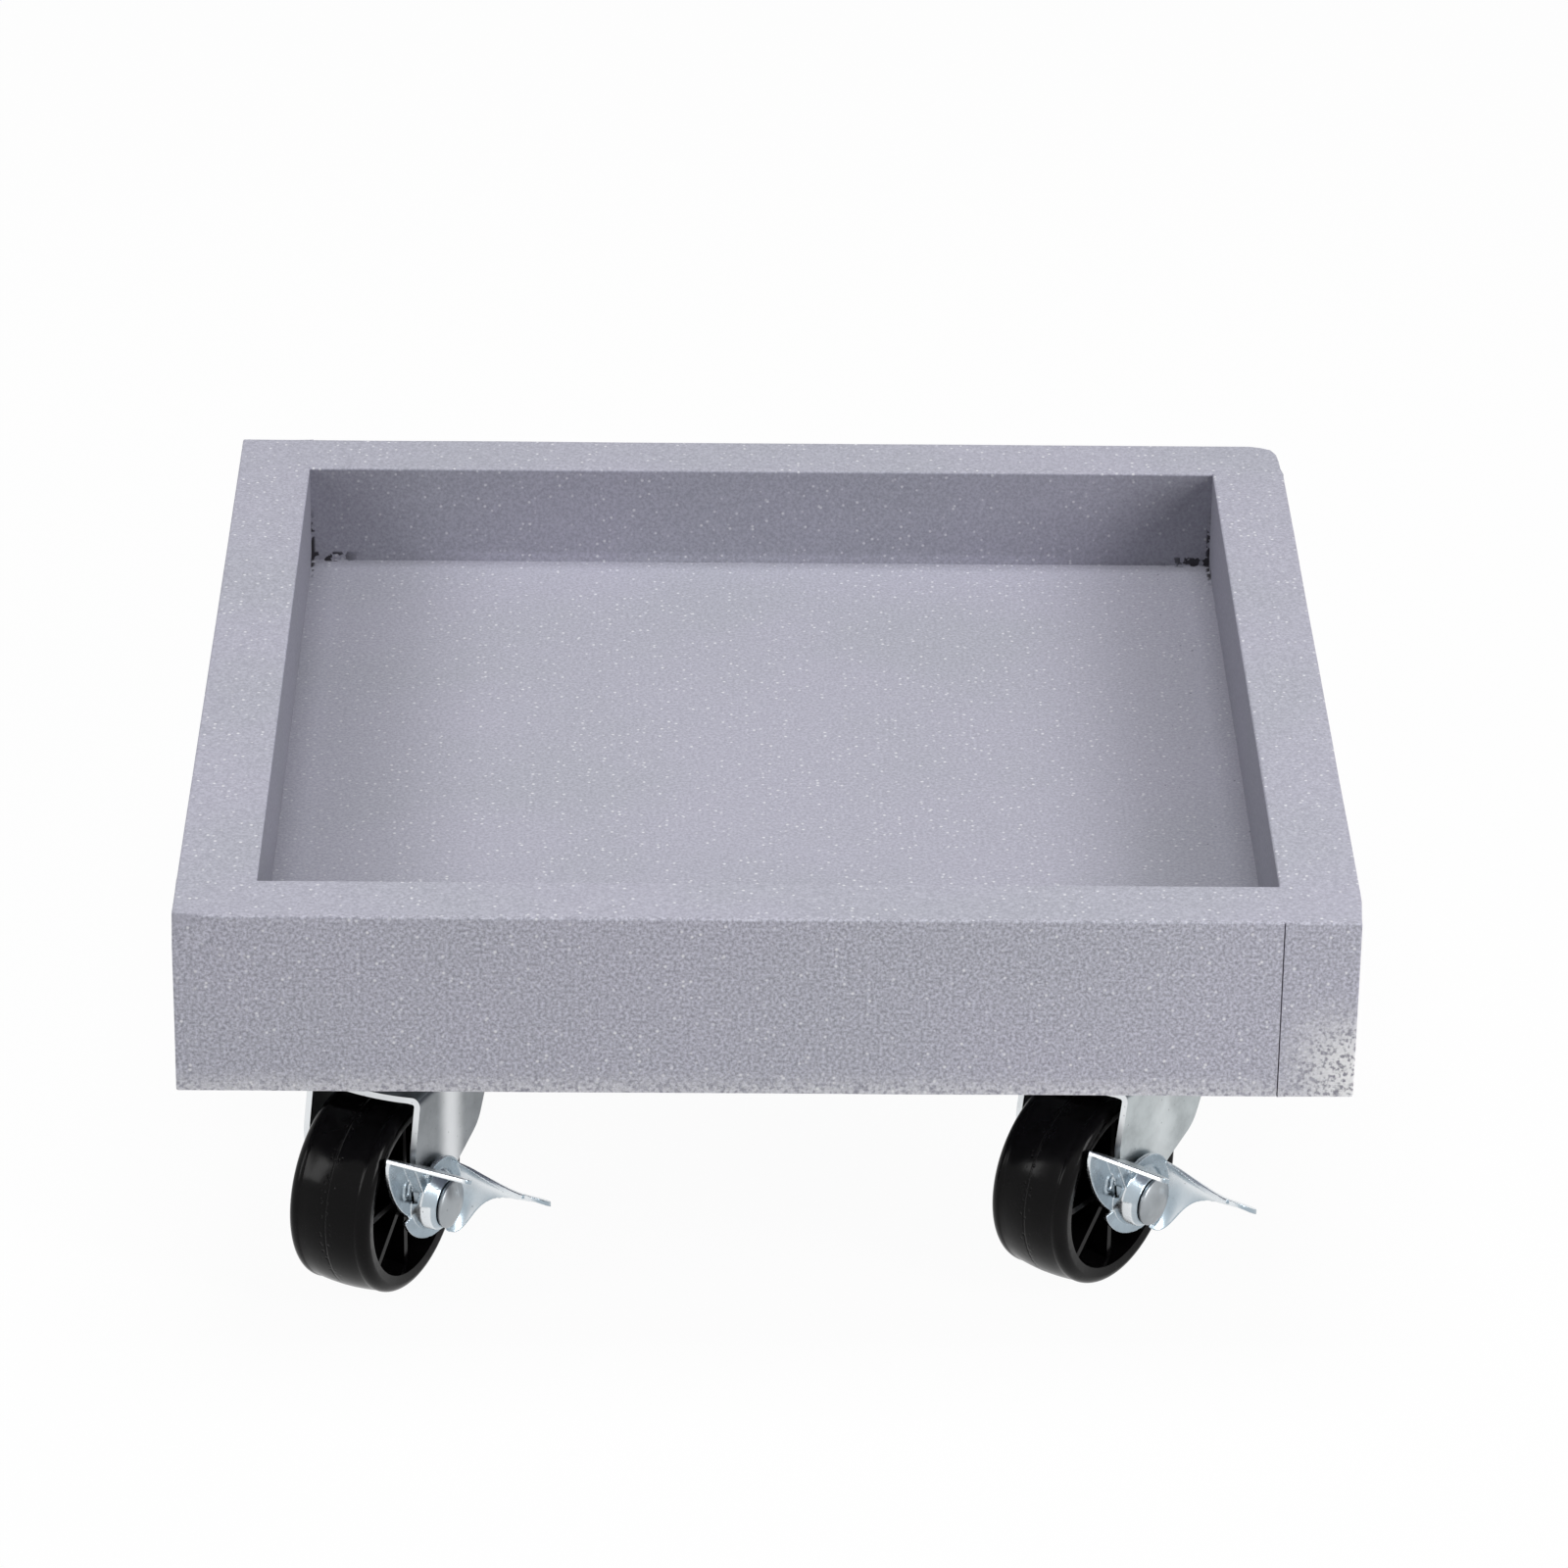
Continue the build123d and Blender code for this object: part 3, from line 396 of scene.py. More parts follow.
def ground_steel(name, code, roughness):
    """Plain steel, turned or ground: even grey metal with fine scratches."""
    material, tree, shader = new_material(name, {"Metallic": 1.0})
    place = add(tree, "ShaderNodeTexCoord").outputs["Object"]
    scratch = add(tree, "ShaderNodeTexNoise", {"Vector": place, "Scale": per_mm(0.7), "Detail": 3.0})
    tone = mix(tree, scratch.outputs[0], linear(code), mix(tree, 0.3, linear(code), linear("#55585C")))
    tree.links.new(tone, shader.inputs["Base Color"])
    rough = add(tree, "ShaderNodeMapRange",
                {"Value": scratch.outputs[0], "To Min": roughness, "To Max": roughness + 0.1})
    tree.links.new(rough.outputs[0], shader.inputs["Roughness"])
    return material


def beech():
    """Raw beech dowel: warm pale wood with short dark flecks along the grain."""
    material, tree, shader = new_material("raw_beech", {"Roughness": 0.6, "IOR": 1.5})
    place = add(tree, "ShaderNodeTexCoord").outputs["Object"]
    grain = add(tree, "ShaderNodeTexNoise", {"Vector": place, "Scale": per_mm(1.5), "Detail": 4.0})
    tone = mix(tree, ramp(tree, grain.outputs[0], 0.4, 0.65), linear("#D2A679"), linear("#B98A5C"))
    tree.links.new(tone, shader.inputs["Base Color"])
    return material


# Meshes

def make_piece(mesh, name, material, body, nodes):
    """Put a finished mesh in the scene as a piece that stands for its CAD nodes."""
    piece = bpy.data.objects.new(name, mesh)
    bpy.context.scene.collection.objects.link(piece)
    piece.data.materials.clear()
    piece.data.materials.append(material)
    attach(piece, body)
    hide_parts(*nodes)
    return piece


def mesh_from(bm, name):
    """A smooth shaded mesh from a bmesh, which is freed."""
    mesh = bpy.data.meshes.new(name)
    bm.to_mesh(mesh)
    bm.free()
    mesh.shade_smooth()
    return mesh


def even_normals(piece):
    """Keep flat faces flat beside rounded edges."""
    modifier = piece.modifiers.new("even_normals", "WEIGHTED_NORMAL")
    modifier.keep_sharp = True


def lathe(profile, steps):
    """A closed solid round Z from a closed loop of (radius, height), which may touch the axis."""
    bm = bmesh.new()
    rings = []
    for radius, height in profile:
        if radius < 1e-9:
            rings.append([bm.verts.new((0, 0, height))] * steps)
        else:
            turn = [2 * math.pi * i / steps for i in range(steps)]
            rings.append([bm.verts.new((radius * math.cos(t), radius * math.sin(t), height)) for t in turn])
    for ring, after in zip(rings, rings[1:] + rings[:1]):
        for i in range(steps):
            j = (i + 1) % steps
            corners = list(dict.fromkeys([ring[i], ring[j], after[j], after[i]]))
            if len(corners) > 2:
                bm.faces.new(corners)
    bmesh.ops.recalc_face_normals(bm, faces=bm.faces)
    return bm


def keep_own_place(mesh, place):
    """Store each point's place in the piece's own frame, in mm, for patterns that follow the piece."""
    own = mesh.attributes.new("own_mm", "FLOAT_VECTOR", "POINT")
    inward = place.inverted()
    for point, vertex in zip(own.data, mesh.vertices):
        point.vector = inward @ vertex.co / MM


def prism(bm, outline, low, high):
    """Add a closed prism: corners in order and its two levels, in millimetres. Its points are returned."""
    levels = [[bm.verts.new((x * MM, y * MM, level * MM)) for x, y in outline] for level in (low, high)]
    under, over = levels
    bm.faces.new(reversed(under))
    bm.faces.new(over)
    for i, start in enumerate(under):
        j = (i + 1) % len(under)
        bm.faces.new((start, under[j], over[j], over[i]))
    return under + over


def mark_sheet_edges(mesh, place, flat_top):
    """Note on each face how far it turns edge on from a sheet that lies across the axle, for the painted highlight
    on edge-on faces.
    """
    edge = mesh.attributes.new("edge_on", "FLOAT", "FACE")
    out = place.to_3x3().col[2]
    for face, share in zip(mesh.polygons, edge.data):
        if flat_top and abs(face.normal.z) > 0.8:
            continue
        share.value = smooth(max(0.0, min(1.0, (0.75 - abs(face.normal.dot(out))) / 0.5)))


def clean_copy(node):
    """A bmesh of a CAD node with its loose triangles joined into whole faces."""
    bm = bmesh.new()
    bm.from_mesh(frame["nodes"][node].data)
    bmesh.ops.remove_doubles(bm, verts=bm.verts, dist=0.002 * MM)
    bmesh.ops.dissolve_limit(bm, angle_limit=math.radians(0.6), verts=bm.verts, edges=bm.edges)
    return bm


def softened(piece, width, angle=32.0):
    """Round a piece's sharp edges by a small width in millimetres."""
    modifier = piece.modifiers.new("soft_edges", "BEVEL")
    modifier.width = width * MM
    modifier.segments = 2
    modifier.limit_method = "ANGLE"
    modifier.angle_limit = math.radians(angle)
    even_normals(piece)


def pressed(mesh, grain, passes):
    """The mesh with its corners eased as a press leaves them: rebuilt at an even grain, then relaxed."""
    holder = bpy.data.objects.new("holder", mesh)
    bpy.context.scene.collection.objects.link(holder)
    rebuilt = holder.modifiers.new("even", "REMESH")
    rebuilt.mode = "VOXEL"
    rebuilt.voxel_size = grain
    eased = holder.modifiers.new("eased", "SMOOTH")
    eased.factor = 0.5
    eased.iterations = passes
    bpy.context.view_layer.update()
    evaluated = holder.evaluated_get(bpy.context.evaluated_depsgraph_get())
    made = bpy.data.meshes.new_from_object(evaluated)
    bpy.data.objects.remove(holder)
    made.shade_smooth()
    return made


def axle_frame(caster):
    """Frame of a caster's axle: x back along the caster, y up, z out along the axle."""
    joint = JOINTS[caster + "_wheel_spin"]
    out = Vector(joint["axis"]).normalized()
    up = Vector((0, 0, 1))
    back = up.cross(out)
    turn = Matrix((back, up, out)).transposed().to_4x4()
    return Matrix.Translation(joint["pos_m"]) @ turn


# Repeats by geometry nodes

def ring_tree():
    """Geometry nodes that set copies of a shape evenly round Z."""
    tree = bpy.data.node_groups.new("ring_of_copies", "GeometryNodeTree")
    face = tree.interface
    face.new_socket("Geometry", in_out="INPUT", socket_type="NodeSocketGeometry")
    count = face.new_socket("Count", in_out="INPUT", socket_type="NodeSocketInt")
    radius = face.new_socket("Radius", in_out="INPUT", socket_type="NodeSocketFloat")
    material = face.new_socket("Material", in_out="INPUT", socket_type="NodeSocketMaterial")
    face.new_socket("Geometry", in_out="OUTPUT", socket_type="NodeSocketGeometry")
    start = add(tree, "NodeGroupInput")
    circle = add(tree, "GeometryNodeMeshCircle",
                 {"Vertices": start.outputs["Count"], "Radius": start.outputs["Radius"]})
    place = add(tree, "GeometryNodeInputPosition")
    turn = add(tree, "FunctionNodeAlignRotationToVector", {"Vector": place.outputs[0]},
               axis="X", pivot_axis="Z")
    copies = add(tree, "GeometryNodeInstanceOnPoints",
                 {"Points": circle.outputs[0], "Instance": start.outputs["Geometry"],
                  "Rotation": turn.outputs[0]})
    whole = add(tree, "GeometryNodeRealizeInstances", {0: copies.outputs[0]})
    painted = add(tree, "GeometryNodeSetMaterial",
                  {"Geometry": whole.outputs[0], "Material": start.outputs["Material"]})
    end = add(tree, "NodeGroupOutput")
    tree.links.new(painted.outputs[0], end.inputs[0])
    return tree, {"count": count.identifier, "radius": radius.identifier, "material": material.identifier}


def spread_tree():
    """Geometry nodes that set a copy of a shape on every point of a cloud, turned as the point says."""
    tree = bpy.data.node_groups.new("copies_on_points", "GeometryNodeTree")
    face = tree.interface
    face.new_socket("Geometry", in_out="INPUT", socket_type="NodeSocketGeometry")
    shape = face.new_socket("Shape", in_out="INPUT", socket_type="NodeSocketObject")
    material = face.new_socket("Material", in_out="INPUT", socket_type="NodeSocketMaterial")
    face.new_socket("Geometry", in_out="OUTPUT", socket_type="NodeSocketGeometry")
    start = add(tree, "NodeGroupInput")
    thing = add(tree, "GeometryNodeObjectInfo", {"Object": start.outputs["Shape"]})
    turn = add(tree, "GeometryNodeInputNamedAttribute", {"Name": "turn"}, data_type="FLOAT_VECTOR")
    copies = add(tree, "GeometryNodeInstanceOnPoints",
                 {"Points": start.outputs["Geometry"], "Instance": thing.outputs["Geometry"],
                  "Rotation": turn.outputs[0]})
    whole = add(tree, "GeometryNodeRealizeInstances", {0: copies.outputs[0]})
    painted = add(tree, "GeometryNodeSetMaterial",
                  {"Geometry": whole.outputs[0], "Material": start.outputs["Material"]})
    end = add(tree, "NodeGroupOutput")
    tree.links.new(painted.outputs[0], end.inputs[0])
    return tree, {"shape": shape.identifier, "material": material.identifier}


def grown(mesh, maker, values):
    """The plain mesh that a geometry nodes tree makes from a mesh."""
    tree, names = maker
    holder = bpy.data.objects.new("holder", mesh)
    bpy.context.scene.collection.objects.link(holder)
    modifier = holder.modifiers.new("grow", "NODES")
    modifier.node_group = tree
    for name, value in values.items():
        modifier[names[name]] = value
    bpy.context.view_layer.update()
    evaluated = holder.evaluated_get(bpy.context.evaluated_depsgraph_get())
    made = bpy.data.meshes.new_from_object(evaluated)
    holder.modifiers.clear()
    bpy.data.objects.remove(holder)
    return made


def spread(shape_mesh, places, turns, material):
    """One mesh with a copy of a shape at each place, turned as given."""
    shape = bpy.data.objects.new("shape", shape_mesh)
    cloud = bpy.data.meshes.new("places")
    cloud.from_pydata([tuple(place) for place in places], [], [])
    turn = cloud.attributes.new("turn", "FLOAT_VECTOR", "POINT")
    for point, value in zip(turn.data, turns):
        point.vector = value
    made = grown(cloud, spread_tree(), {"shape": shape, "material": material})
    bpy.data.objects.remove(shape)
    made.shade_smooth()
    return made


def ring(shape_mesh, count, radius, material):
    """One mesh with copies of a shape evenly round Z."""
    made = grown(shape_mesh, ring_tree(), {"count": count, "radius": radius, "material": material})
    made.shade_smooth()
    return made


# Tray boards

def sanding(point, tray_low, tray_high):
    """Where a point of the boards ends up after sanding and filling by hand."""
    x, y, z = point
    moved = Vector(point)
    # Front left top corner: sanded back along the front, a little fat on the left
    near = max(0.0, 1 - (x - tray_low.x) / (11 * MM))
    top = max(0.0, 1 - (tray_high.z - z) / (9 * MM))
    face = max(0.0, 1 - (y - tray_low.y) / (9 * MM))
    moved.y += 2.3 * MM * smooth(near) * smooth(top) * smooth(face)
    # Front right top corner: the outer side drawn in
    near = max(0.0, 1 - (y - tray_low.y) / (15 * MM))
    side = max(0.0, 1 - (tray_high.x - x) / (8 * MM))
    moved.x -= 0.9 * MM * smooth(near) * smooth(side)
    # Back right corner: filled and rounded
    near = max(0.0, 1 - (tray_high.y - y) / (19 * MM))
    moved.x -= 0.6 * MM * smooth(side) * min(1.0, 3 * near)
    out = Vector((x - tray_high.x, y - tray_high.y)).length / (7 * MM)
    pull = smooth(max(0.0, 1 - out))
    moved.x -= 1.5 * MM * pull
    moved.y -= 2.2 * MM * pull
    return moved


def smooth(share):
    """A share from 0 to 1 eased at both ends."""
    return share * share * (3 - 2 * share)


def board_mesh(node, settings):
    """A board cut fine enough to be uneven, with its free edges sanded round and its joints flush."""
    low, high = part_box(node)
    bm = bmesh.new()
    bmesh.ops.create_cube(bm, size=1.0)
    middle = (low + high) / 2
    for v in bm.verts:
        v.co = Vector(c * s for c, s in zip(v.co, high - low)) + middle
    rail = max(high - low) > 2 * WELL_HALF + MM

    def is_open(edge):
        """Whether an edge of a rim board is free, and not part of a joint."""
        place = (edge.verts[0].co + edge.verts[1].co) / 2
        along = edge.verts[0].co - edge.verts[1].co
        outside = HALF_SIDE - max(abs(place.x), abs(place.y)) < MM
        if abs(along.z) > MM:
            return outside and abs(abs(place.x) - abs(place.y)) < MM
        return outside or along.length > 2 * BOARD

    free = [e for e in bm.edges if rail and is_open(e)]
    bmesh.ops.bevel(bm, geom=free, offset=settings.edge, segments=3, profile=0.5, affect="EDGES")
    for axis in range(3):
        steps = int((high[axis] - low[axis]) / settings.grid)
        normal = Vector([1.0 if i == axis else 0.0 for i in range(3)])
        for i in range(1, steps):
            place = Vector(low)
            place[axis] = low[axis] + (high[axis] - low[axis]) * i / steps
            slice_at(bm, place, normal)
    if rail:
        long_way = 0 if high.x - low.x > high.y - low.y else 1
        normal = Vector([1.0 if i == long_way else 0.0 for i in range(3)])
        for side in (-1, 1):
            for extra in (0.0, JOINT_STEP):
                slice_at(bm, normal * side * (WELL_HALF + extra), normal)
        for v in bm.verts:
            flatten_joint(v, long_way, low.z, high.z, settings.edge)
        bmesh.ops.remove_doubles(bm, verts=bm.verts, dist=0.001 * MM)
    return bm


def slice_at(bm, place, normal):
    """Cut every face along a plane."""
    everything = bm.verts[:] + bm.edges[:] + bm.faces[:]
    bmesh.ops.bisect_plane(bm, geom=everything, plane_co=place, plane_no=normal)


def flatten_joint(v, long_way, bottom, top, edge):
    """Undo the rounding of a board's inner edges where the next board butts against it."""
    hair = 0.01 * MM
    across = 1 - long_way
    if abs(v.co[long_way]) < WELL_HALF + JOINT_STEP / 2:
        return
    if not WELL_HALF - hair < abs(v.co[across]) < WELL_HALF + edge + hair:
        return
    if top - v.co.z < edge + hair or v.co.z - bottom < edge + hair:
        v.co[across] = math.copysign(WELL_HALF, v.co[across])
        v.co.z = top if top - v.co.z < v.co.z - bottom else bottom


def islands(node):
    """The box of each separate solid in a CAD node, as (lowest, highest) corners."""
    bm = clean_copy(node)
    left = set(bm.verts)
    boxes = []
    while left:
        start = left.pop()
        found = {start}
        front = [start]
        while front:
            for edge in front.pop().link_edges:
                for v in edge.verts:
                    if v not in found:
                        found.add(v)
                        front.append(v)
        left -= found
        points = [v.co.copy() for v in found]
        boxes.append((Vector(map(min, zip(*points))), Vector(map(max, zip(*points)))))
    bm.free()
    return boxes


# Operators

class StandTray(bpy.types.Operator):
    """Make the four rim boards and the floor panel."""
    bl_idname = "plant_stand.tray"
    bl_label = "Tray boards"

    def execute(self, context):
        settings = context.scene.stand_tray
        paint = matt_paint()
        low = Vector((-HALF_SIDE, -HALF_SIDE, RIM_BOTTOM))
        high = Vector((HALF_SIDE, HALF_SIDE, RIM_TOP))
        for node in ("front_rail", "back_rail", "left_rail", "right_rail", "floor_panel"):
            bm = board_mesh(node, settings)
            for v in bm.verts:
                flush = max(abs(v.co.x), abs(v.co.y)) < WELL_HALF + MM
                v.co = self.seam(v.co, node, settings)
                v.co = sanding(v.co, low, high)
                if not flush:
                    v.co += noise.noise_vector(v.co * per_mm(35)) * settings.uneven
                v.co = [min(max(c, a), b) for c, a, b in zip(v.co, low, high)]
            mesh = mesh_from(bm, node)
            mesh.set_sharp_from_angle(angle=math.radians(40))
            piece = make_piece(mesh, "painted_" + node, paint, "tray", [node])
            even_normals(piece)
        return {"FINISHED"}

    def seam(self, point, node, settings):
        """Open the seam beside the right board's end grain on the front face."""
        close = 0.1 * MM
        on_face = point.y < close - HALF_SIDE
        moved = Vector(point)
        if on_face and abs(point.x - WELL_HALF) < close and node in ("front_rail", "right_rail"):
            moved.x += settings.seam / 2 * (-1 if node == "front_rail" else 1)
        return moved


class StandDowels(bpy.types.Operator):
    """Finish the beech dowels that hold the boards together."""
    bl_idname = "plant_stand.dowels"
    bl_label = "Dowels"

    def execute(self, context):
        wood = beech()
        for node in ("corner_dowels", "panel_dowels"):
            boxes = islands(node)
            low, high = boxes[0]
            length = max(high - low)
            radius = min(high - low) / 2
            end = 0.8 * MM
            profile = [(0, -length / 2), (radius - end, -length / 2), (radius, -length / 2 + end),
                       (radius, length / 2 - end), (radius - end, length / 2), (0, length / 2)]
            quarter = math.pi / 2
            turns = [(quarter, 0, 0) if (b - a).y > (b - a).x else (0, quarter, 0) for a, b in boxes]
            middles = [(a + b) / 2 for a, b in boxes]
            mesh = spread(mesh_from(lathe(profile, 24), "dowel"), middles, turns, wood)
            make_piece(mesh, "beech_" + node, wood, "tray", [node])
        return {"FINISHED"}


class StandCasterMetal(bpy.types.Operator):
    """Finish forks, plates, rivets, washers, screws and bearings."""
    bl_idname = "plant_stand.caster_metal"
    bl_label = "Caster metal"

    def execute(self, context):
        settings = context.scene.stand_casters
        zinc = zinc_plate("bright_zinc_plate", settings.zinc, 0.3)
        # Forks with a painted highlight down each leg and painted shade beside it
        satin = zinc_plate("satin_zinc_painted_highlight", settings.zinc, 0.3, leg_highlight=0.75, edge_highlight=0.8)
        # A lighter copy of the same zinc, painted light for the front right fork, which stands in more light; it
        # also has a weaker painted highlight
        pale = zinc_plate("painted_lit_zinc_plate", linear("#C2C9CB"), 0.3, leg_highlight=0.2, edge_highlight=0.8)
        steel = ground_steel("ground_bearing_steel", "#C9CACC", 0.15)
        spring = ground_steel("plain_spring_steel", "#8D9095", 0.3)
        finish = {
            "top_plate": (zinc, 0.25, "zinc_plated_steel"),
            "king_rivet": (zinc, 0.25, "zinc_plated_steel"),
            "fork": (satin, 0.3, "zinc_plated_steel"),
            "axle_rivet": (zinc, 0.15, "zinc_plated_steel"),
            "axle_washer": (zinc, 0.2, "zinc_plated_steel"),
            "lower_race": (steel, 0.1, "bearing_steel"),
            "axle_sleeve": (steel, 0.1, "bearing_steel"),
            "brake_washer": (spring, 0.08, "spring_steel"),
        }
        bodies = {n: b for b, ns in frame["record"]["behaviour"]["bodies"].items() for n in ns}
        for node, body in bodies.items():
            for ending, (material, width, slot) in finish.items():
                if node.endswith("_" + ending):
                    mesh = mesh_from(clean_copy(node), node)
                    if ending == "fork":
                        place = axle_frame(node[:-len("_fork")])
                        keep_own_place(mesh, place)
                        mark_sheet_edges(mesh, place, flat_top=True)
                        # The front right fork gets the copy painted lighter
                        material = pale if node.startswith("front_right") else satin
                    piece = make_piece(mesh, "metal_" + node, material, body, [node])
                    softened(piece, width)
            if node.endswith("_balls"):
                self.balls(node, body, steel)
        self.screws(zinc)
        return {"FINISHED"}

    def balls(self, node, body, steel):
        """A full row of bearing balls round the swivel axis."""
        boxes = islands(node)
        low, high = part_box(node)
        middle = (low + high) / 2
        radius = (high.z - low.z) / 2
        first = (boxes[0][0] + boxes[0][1]) / 2 - middle
        bm = bmesh.new()
        bmesh.ops.create_uvsphere(bm, u_segments=20, v_segments=12, radius=radius)
        start = math.atan2(first.y, first.x)
        pitch = math.hypot(first.x, first.y)
        mesh = ring(mesh_from(bm, node), len(boxes), pitch, steel)
        mesh.transform(Matrix.Translation(middle) @ Matrix.Rotation(start, 4, "Z"))
        make_piece(mesh, "metal_" + node, steel, body, [node])

    def screws(self, zinc):
        """The pan head screws with their cross slots, heads down."""
        boxes = islands("caster_screws")
        low, high = boxes[0]
        radius = (high.x - low.x) / 2
        head = 2.4 * MM
        shank = 1.8 * MM
        length = high.z - low.z
        root = 0.72 * shank
        turn = 1.4 * MM
        slot_width = 0.9 * MM
        slot_depth = MM
        steps = 8
        bends = [math.pi / 2 * i / steps for i in range(steps + 1)]
        dome = [(radius * math.sin(bend), head * (1 - math.cos(bend))) for bend in bends]
        threads = []
        rise = head
        while rise + turn < length - 2 * shank:
            threads += [(shank, rise), (root, rise + turn / 2)]
            rise += turn
        profile = dome + threads + [(shank, length - 2 * shank), (0, length)]
        slot = bmesh.new()
        for width, depth in ((radius, slot_width), (slot_width, radius)):
            box = bmesh.ops.create_cube(slot, size=1.0)["verts"]
            bmesh.ops.scale(slot, vec=(width, depth, 2 * slot_depth), verts=box)
        cross = bpy.data.objects.new("cross", mesh_from(slot, "cross"))
        body = bpy.data.objects.new("screw", mesh_from(lathe(profile, 24), "screw"))
        bpy.context.scene.collection.objects.link(cross)
        bpy.context.scene.collection.objects.link(body)
        bite = body.modifiers.new("slot", "BOOLEAN")
        bite.object = cross
        bite.operation = "DIFFERENCE"
        bite.use_self = True
        bpy.context.view_layer.update()
        evaluated = body.evaluated_get(bpy.context.evaluated_depsgraph_get())
        cut = bpy.data.meshes.new_from_object(evaluated)
        bpy.data.objects.remove(cross)
        bpy.data.objects.remove(body)
        places = [Vector(((a.x + b.x) / 2, (a.y + b.y) / 2, a.z)) for a, b in boxes]
        turns = [(0, 0, 0.7 * i) for i in range(len(boxes))]
        made = spread(cut, places, turns, zinc)
        piece = make_piece(made, "metal_caster_screws", zinc, "tray", ["caster_screws"])
        even_normals(piece)


class StandBrakes(bpy.types.Operator):
    """Make the stamped brake levers."""
    bl_idname = "plant_stand.brakes"
    bl_label = "Brake levers"

    def execute(self, context):
        settings = context.scene.stand_casters
        # Levers with a painted highlight on their edge-on faces
        zinc = zinc_plate("blue_zinc_plate", settings.blue_zinc, 0.2, edge_highlight=0.75)
        for caster in BRAKED:
            node = caster + "_brake_lever"
            place = axle_frame(caster)
            bm = clean_copy(node)
            for outline, low, high in PRESSED_STEP:
                bmesh.ops.transform(bm, matrix=place, verts=prism(bm, outline, low, high))
            mesh = pressed(mesh_from(bm, node), grain=0.2 * MM, passes=4)
            mark_sheet_edges(mesh, place, flat_top=False)
            make_piece(mesh, "stamped_" + node, zinc, caster + "_brake", [node])
        return {"FINISHED"}


class StandWheels(bpy.types.Operator):
    """Make the moulded wheels."""
    bl_idname = "plant_stand.wheels"
    bl_label = "Wheels"

    def execute(self, context):
        plastic = moulded_plastic()
        for caster in CASTERS:
            node = caster + "_wheel"
            mesh = mesh_from(clean_copy(node), node)
            keep_own_place(mesh, axle_frame(caster))
            piece = make_piece(mesh, "moulded_" + node, plastic, caster + "_roller", [node])
            softened(piece, 0.25)
        return {"FINISHED"}


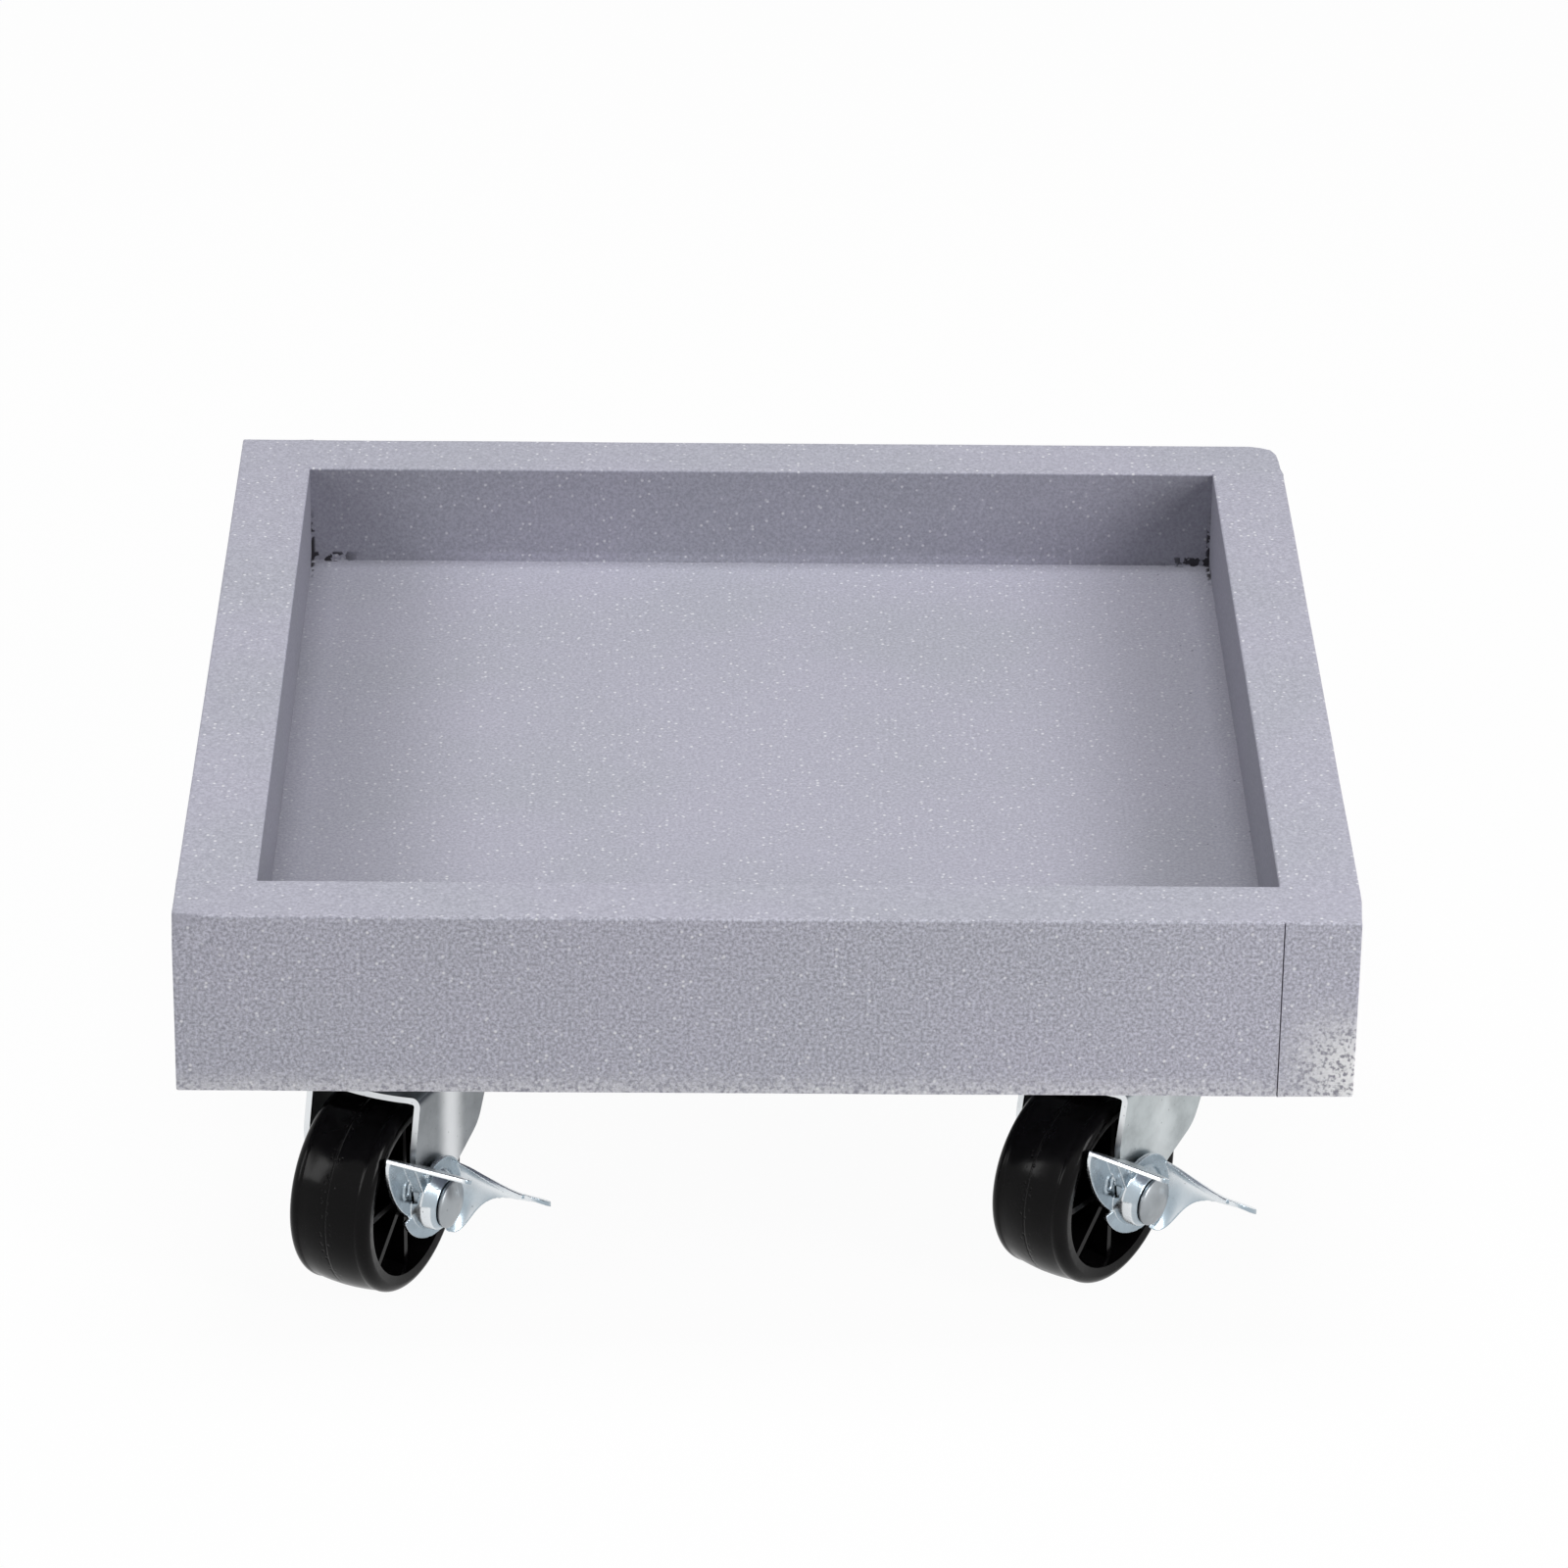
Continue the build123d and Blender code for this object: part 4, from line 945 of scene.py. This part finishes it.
class StandStage(bpy.types.Operator):
    """Make the floor, the lights and the camera."""
    bl_idname = "plant_stand.stage"
    bl_label = "Stage"

    def execute(self, context):
        settings = context.scene.stand_stage
        scene = context.scene
        scene.view_settings.view_transform = "Standard"
        self.floor(settings)
        self.world(scene, settings)
        self.lamp("lamp_above", (0, 0.1, 2.0), (0, 0.05, 0.1), (1.2, 0.8), settings.above)
        self.lamp("left_softbox", (-1.2, -0.58, 0.72), (0, 0, 0.08), (0.26, 0.68), settings.left)
        self.lamp("right_softbox", (1.0, -0.75, 0.6), (0, 0, 0.08), (0.3, 0.7), settings.right)
        self.camera(scene)
        return {"FINISHED"}

    def floor(self, settings):
        """A pale floor that shows white to the camera and keeps a soft shadow."""
        bm = bmesh.new()
        bmesh.ops.create_grid(bm, x_segments=1, y_segments=1, size=6.0)
        plane = bpy.data.objects.new("floor", mesh_from(bm, "floor"))
        bpy.context.scene.collection.objects.link(plane)
        material, tree, shader = new_material("studio_floor",
                                              {"Base Color": settings.floor, "Roughness": 0.9})
        share = product(tree, seen_by_eye(tree), settings.white)
        white = add(tree, "ShaderNodeEmission", {"Color": (1, 1, 1, 1), "Strength": 1.0})
        both = add(tree, "ShaderNodeMixShader", {0: share, 1: shader.outputs[0], 2: white.outputs[0]})
        out = next(n for n in tree.nodes if n.type == "OUTPUT_MATERIAL")
        tree.links.new(both.outputs[0], out.inputs[0])
        plane.data.materials.append(material)

    def world(self, scene, settings):
        """An even sky that the camera sees as white."""
        world = bpy.data.worlds.new("studio")
        world.use_nodes = True
        scene.world = world
        tree = world.node_tree
        tree.nodes.clear()
        plain = add(tree, "ShaderNodeBackground", {"Color": (1, 1, 1, 1), "Strength": settings.world})
        white = add(tree, "ShaderNodeBackground", {"Color": (1, 1, 1, 1), "Strength": 1.0})
        both = add(tree, "ShaderNodeMixShader",
                   {0: seen_by_eye(tree), 1: plain.outputs[0], 2: white.outputs[0]})
        add(tree, "ShaderNodeOutputWorld", {"Surface": both.outputs[0]})

    def lamp(self, name, place, target, size, power):
        """A large flat lamp, given by its width and height, that points at a target."""
        light = bpy.data.lights.new(name, "AREA")
        light.shape = "RECTANGLE"
        light.size, light.size_y = size
        light.energy = power
        lamp = bpy.data.objects.new(name, light)
        bpy.context.scene.collection.objects.link(lamp)
        lamp.location = place
        lamp.rotation_mode = "QUATERNION"
        lamp.rotation_quaternion = (Vector(target) - Vector(place)).to_track_quat("-Z", "Y")

    def camera(self, scene):
        """The camera of the photograph, from a fit to the tray's corners."""
        azimuth = math.radians(-0.892)
        elevation = math.radians(26.330)
        roll = math.radians(0.763)
        target = Vector((5.20, 0.0, 82.83)) * MM
        distance = 1755.4 * MM
        focal_pixels = 7038.1
        frame_pixels = 1600
        flat = math.cos(elevation)
        back = Vector((math.sin(azimuth) * flat, -math.cos(azimuth) * flat, math.sin(elevation)))
        right = Vector((math.cos(azimuth), math.sin(azimuth), 0))
        up = back.cross(right)
        level = math.cos(roll) * right + math.sin(roll) * up
        lift = math.cos(roll) * up - math.sin(roll) * right
        data = bpy.data.cameras.new("camera")
        data.sensor_width = 36.0
        data.lens = focal_pixels / frame_pixels * data.sensor_width
        data.clip_start = 0.05
        camera = bpy.data.objects.new("camera", data)
        bpy.context.scene.collection.objects.link(camera)
        turn = Matrix((level, lift, back)).transposed().to_4x4()
        camera.matrix_world = Matrix.Translation(target + back * distance) @ turn
        scene.camera = camera


class StandPanel(bpy.types.Panel):
    """Lists the steps that dress the stand."""
    bl_idname = "VIEW3D_PT_plant_stand"
    bl_label = "Plant Stand"
    bl_space_type = "VIEW_3D"
    bl_region_type = "UI"
    bl_category = "Plant Stand"

    def draw(self, context):
        for step in STEPS:
            self.layout.operator(step.bl_idname)


SETTINGS = {"stand_tray": TraySettings, "stand_casters": CasterSettings, "stand_stage": StageSettings}
STEPS = (StandTray, StandDowels, StandCasterMetal, StandBrakes, StandWheels, StandStage)


def register():
    """Make the settings, the steps and the panel known to Blender."""
    for kind in (*SETTINGS.values(), *STEPS, StandPanel):
        bpy.utils.register_class(kind)
    for name, kind in SETTINGS.items():
        setattr(bpy.types.Scene, name, bpy.props.PointerProperty(type=kind))


def unregister():
    """Take the settings, the steps and the panel away again."""
    for name in SETTINGS:
        delattr(bpy.types.Scene, name)
    for kind in (StandPanel, *reversed(STEPS), *reversed(SETTINGS.values())):
        bpy.utils.unregister_class(kind)


def main():
    """Dress the whole stand."""
    register()
    for step in STEPS:
        group, name = step.bl_idname.split(".")
        getattr(getattr(bpy.ops, group), name)()


if __name__ == "__main__":
    main()
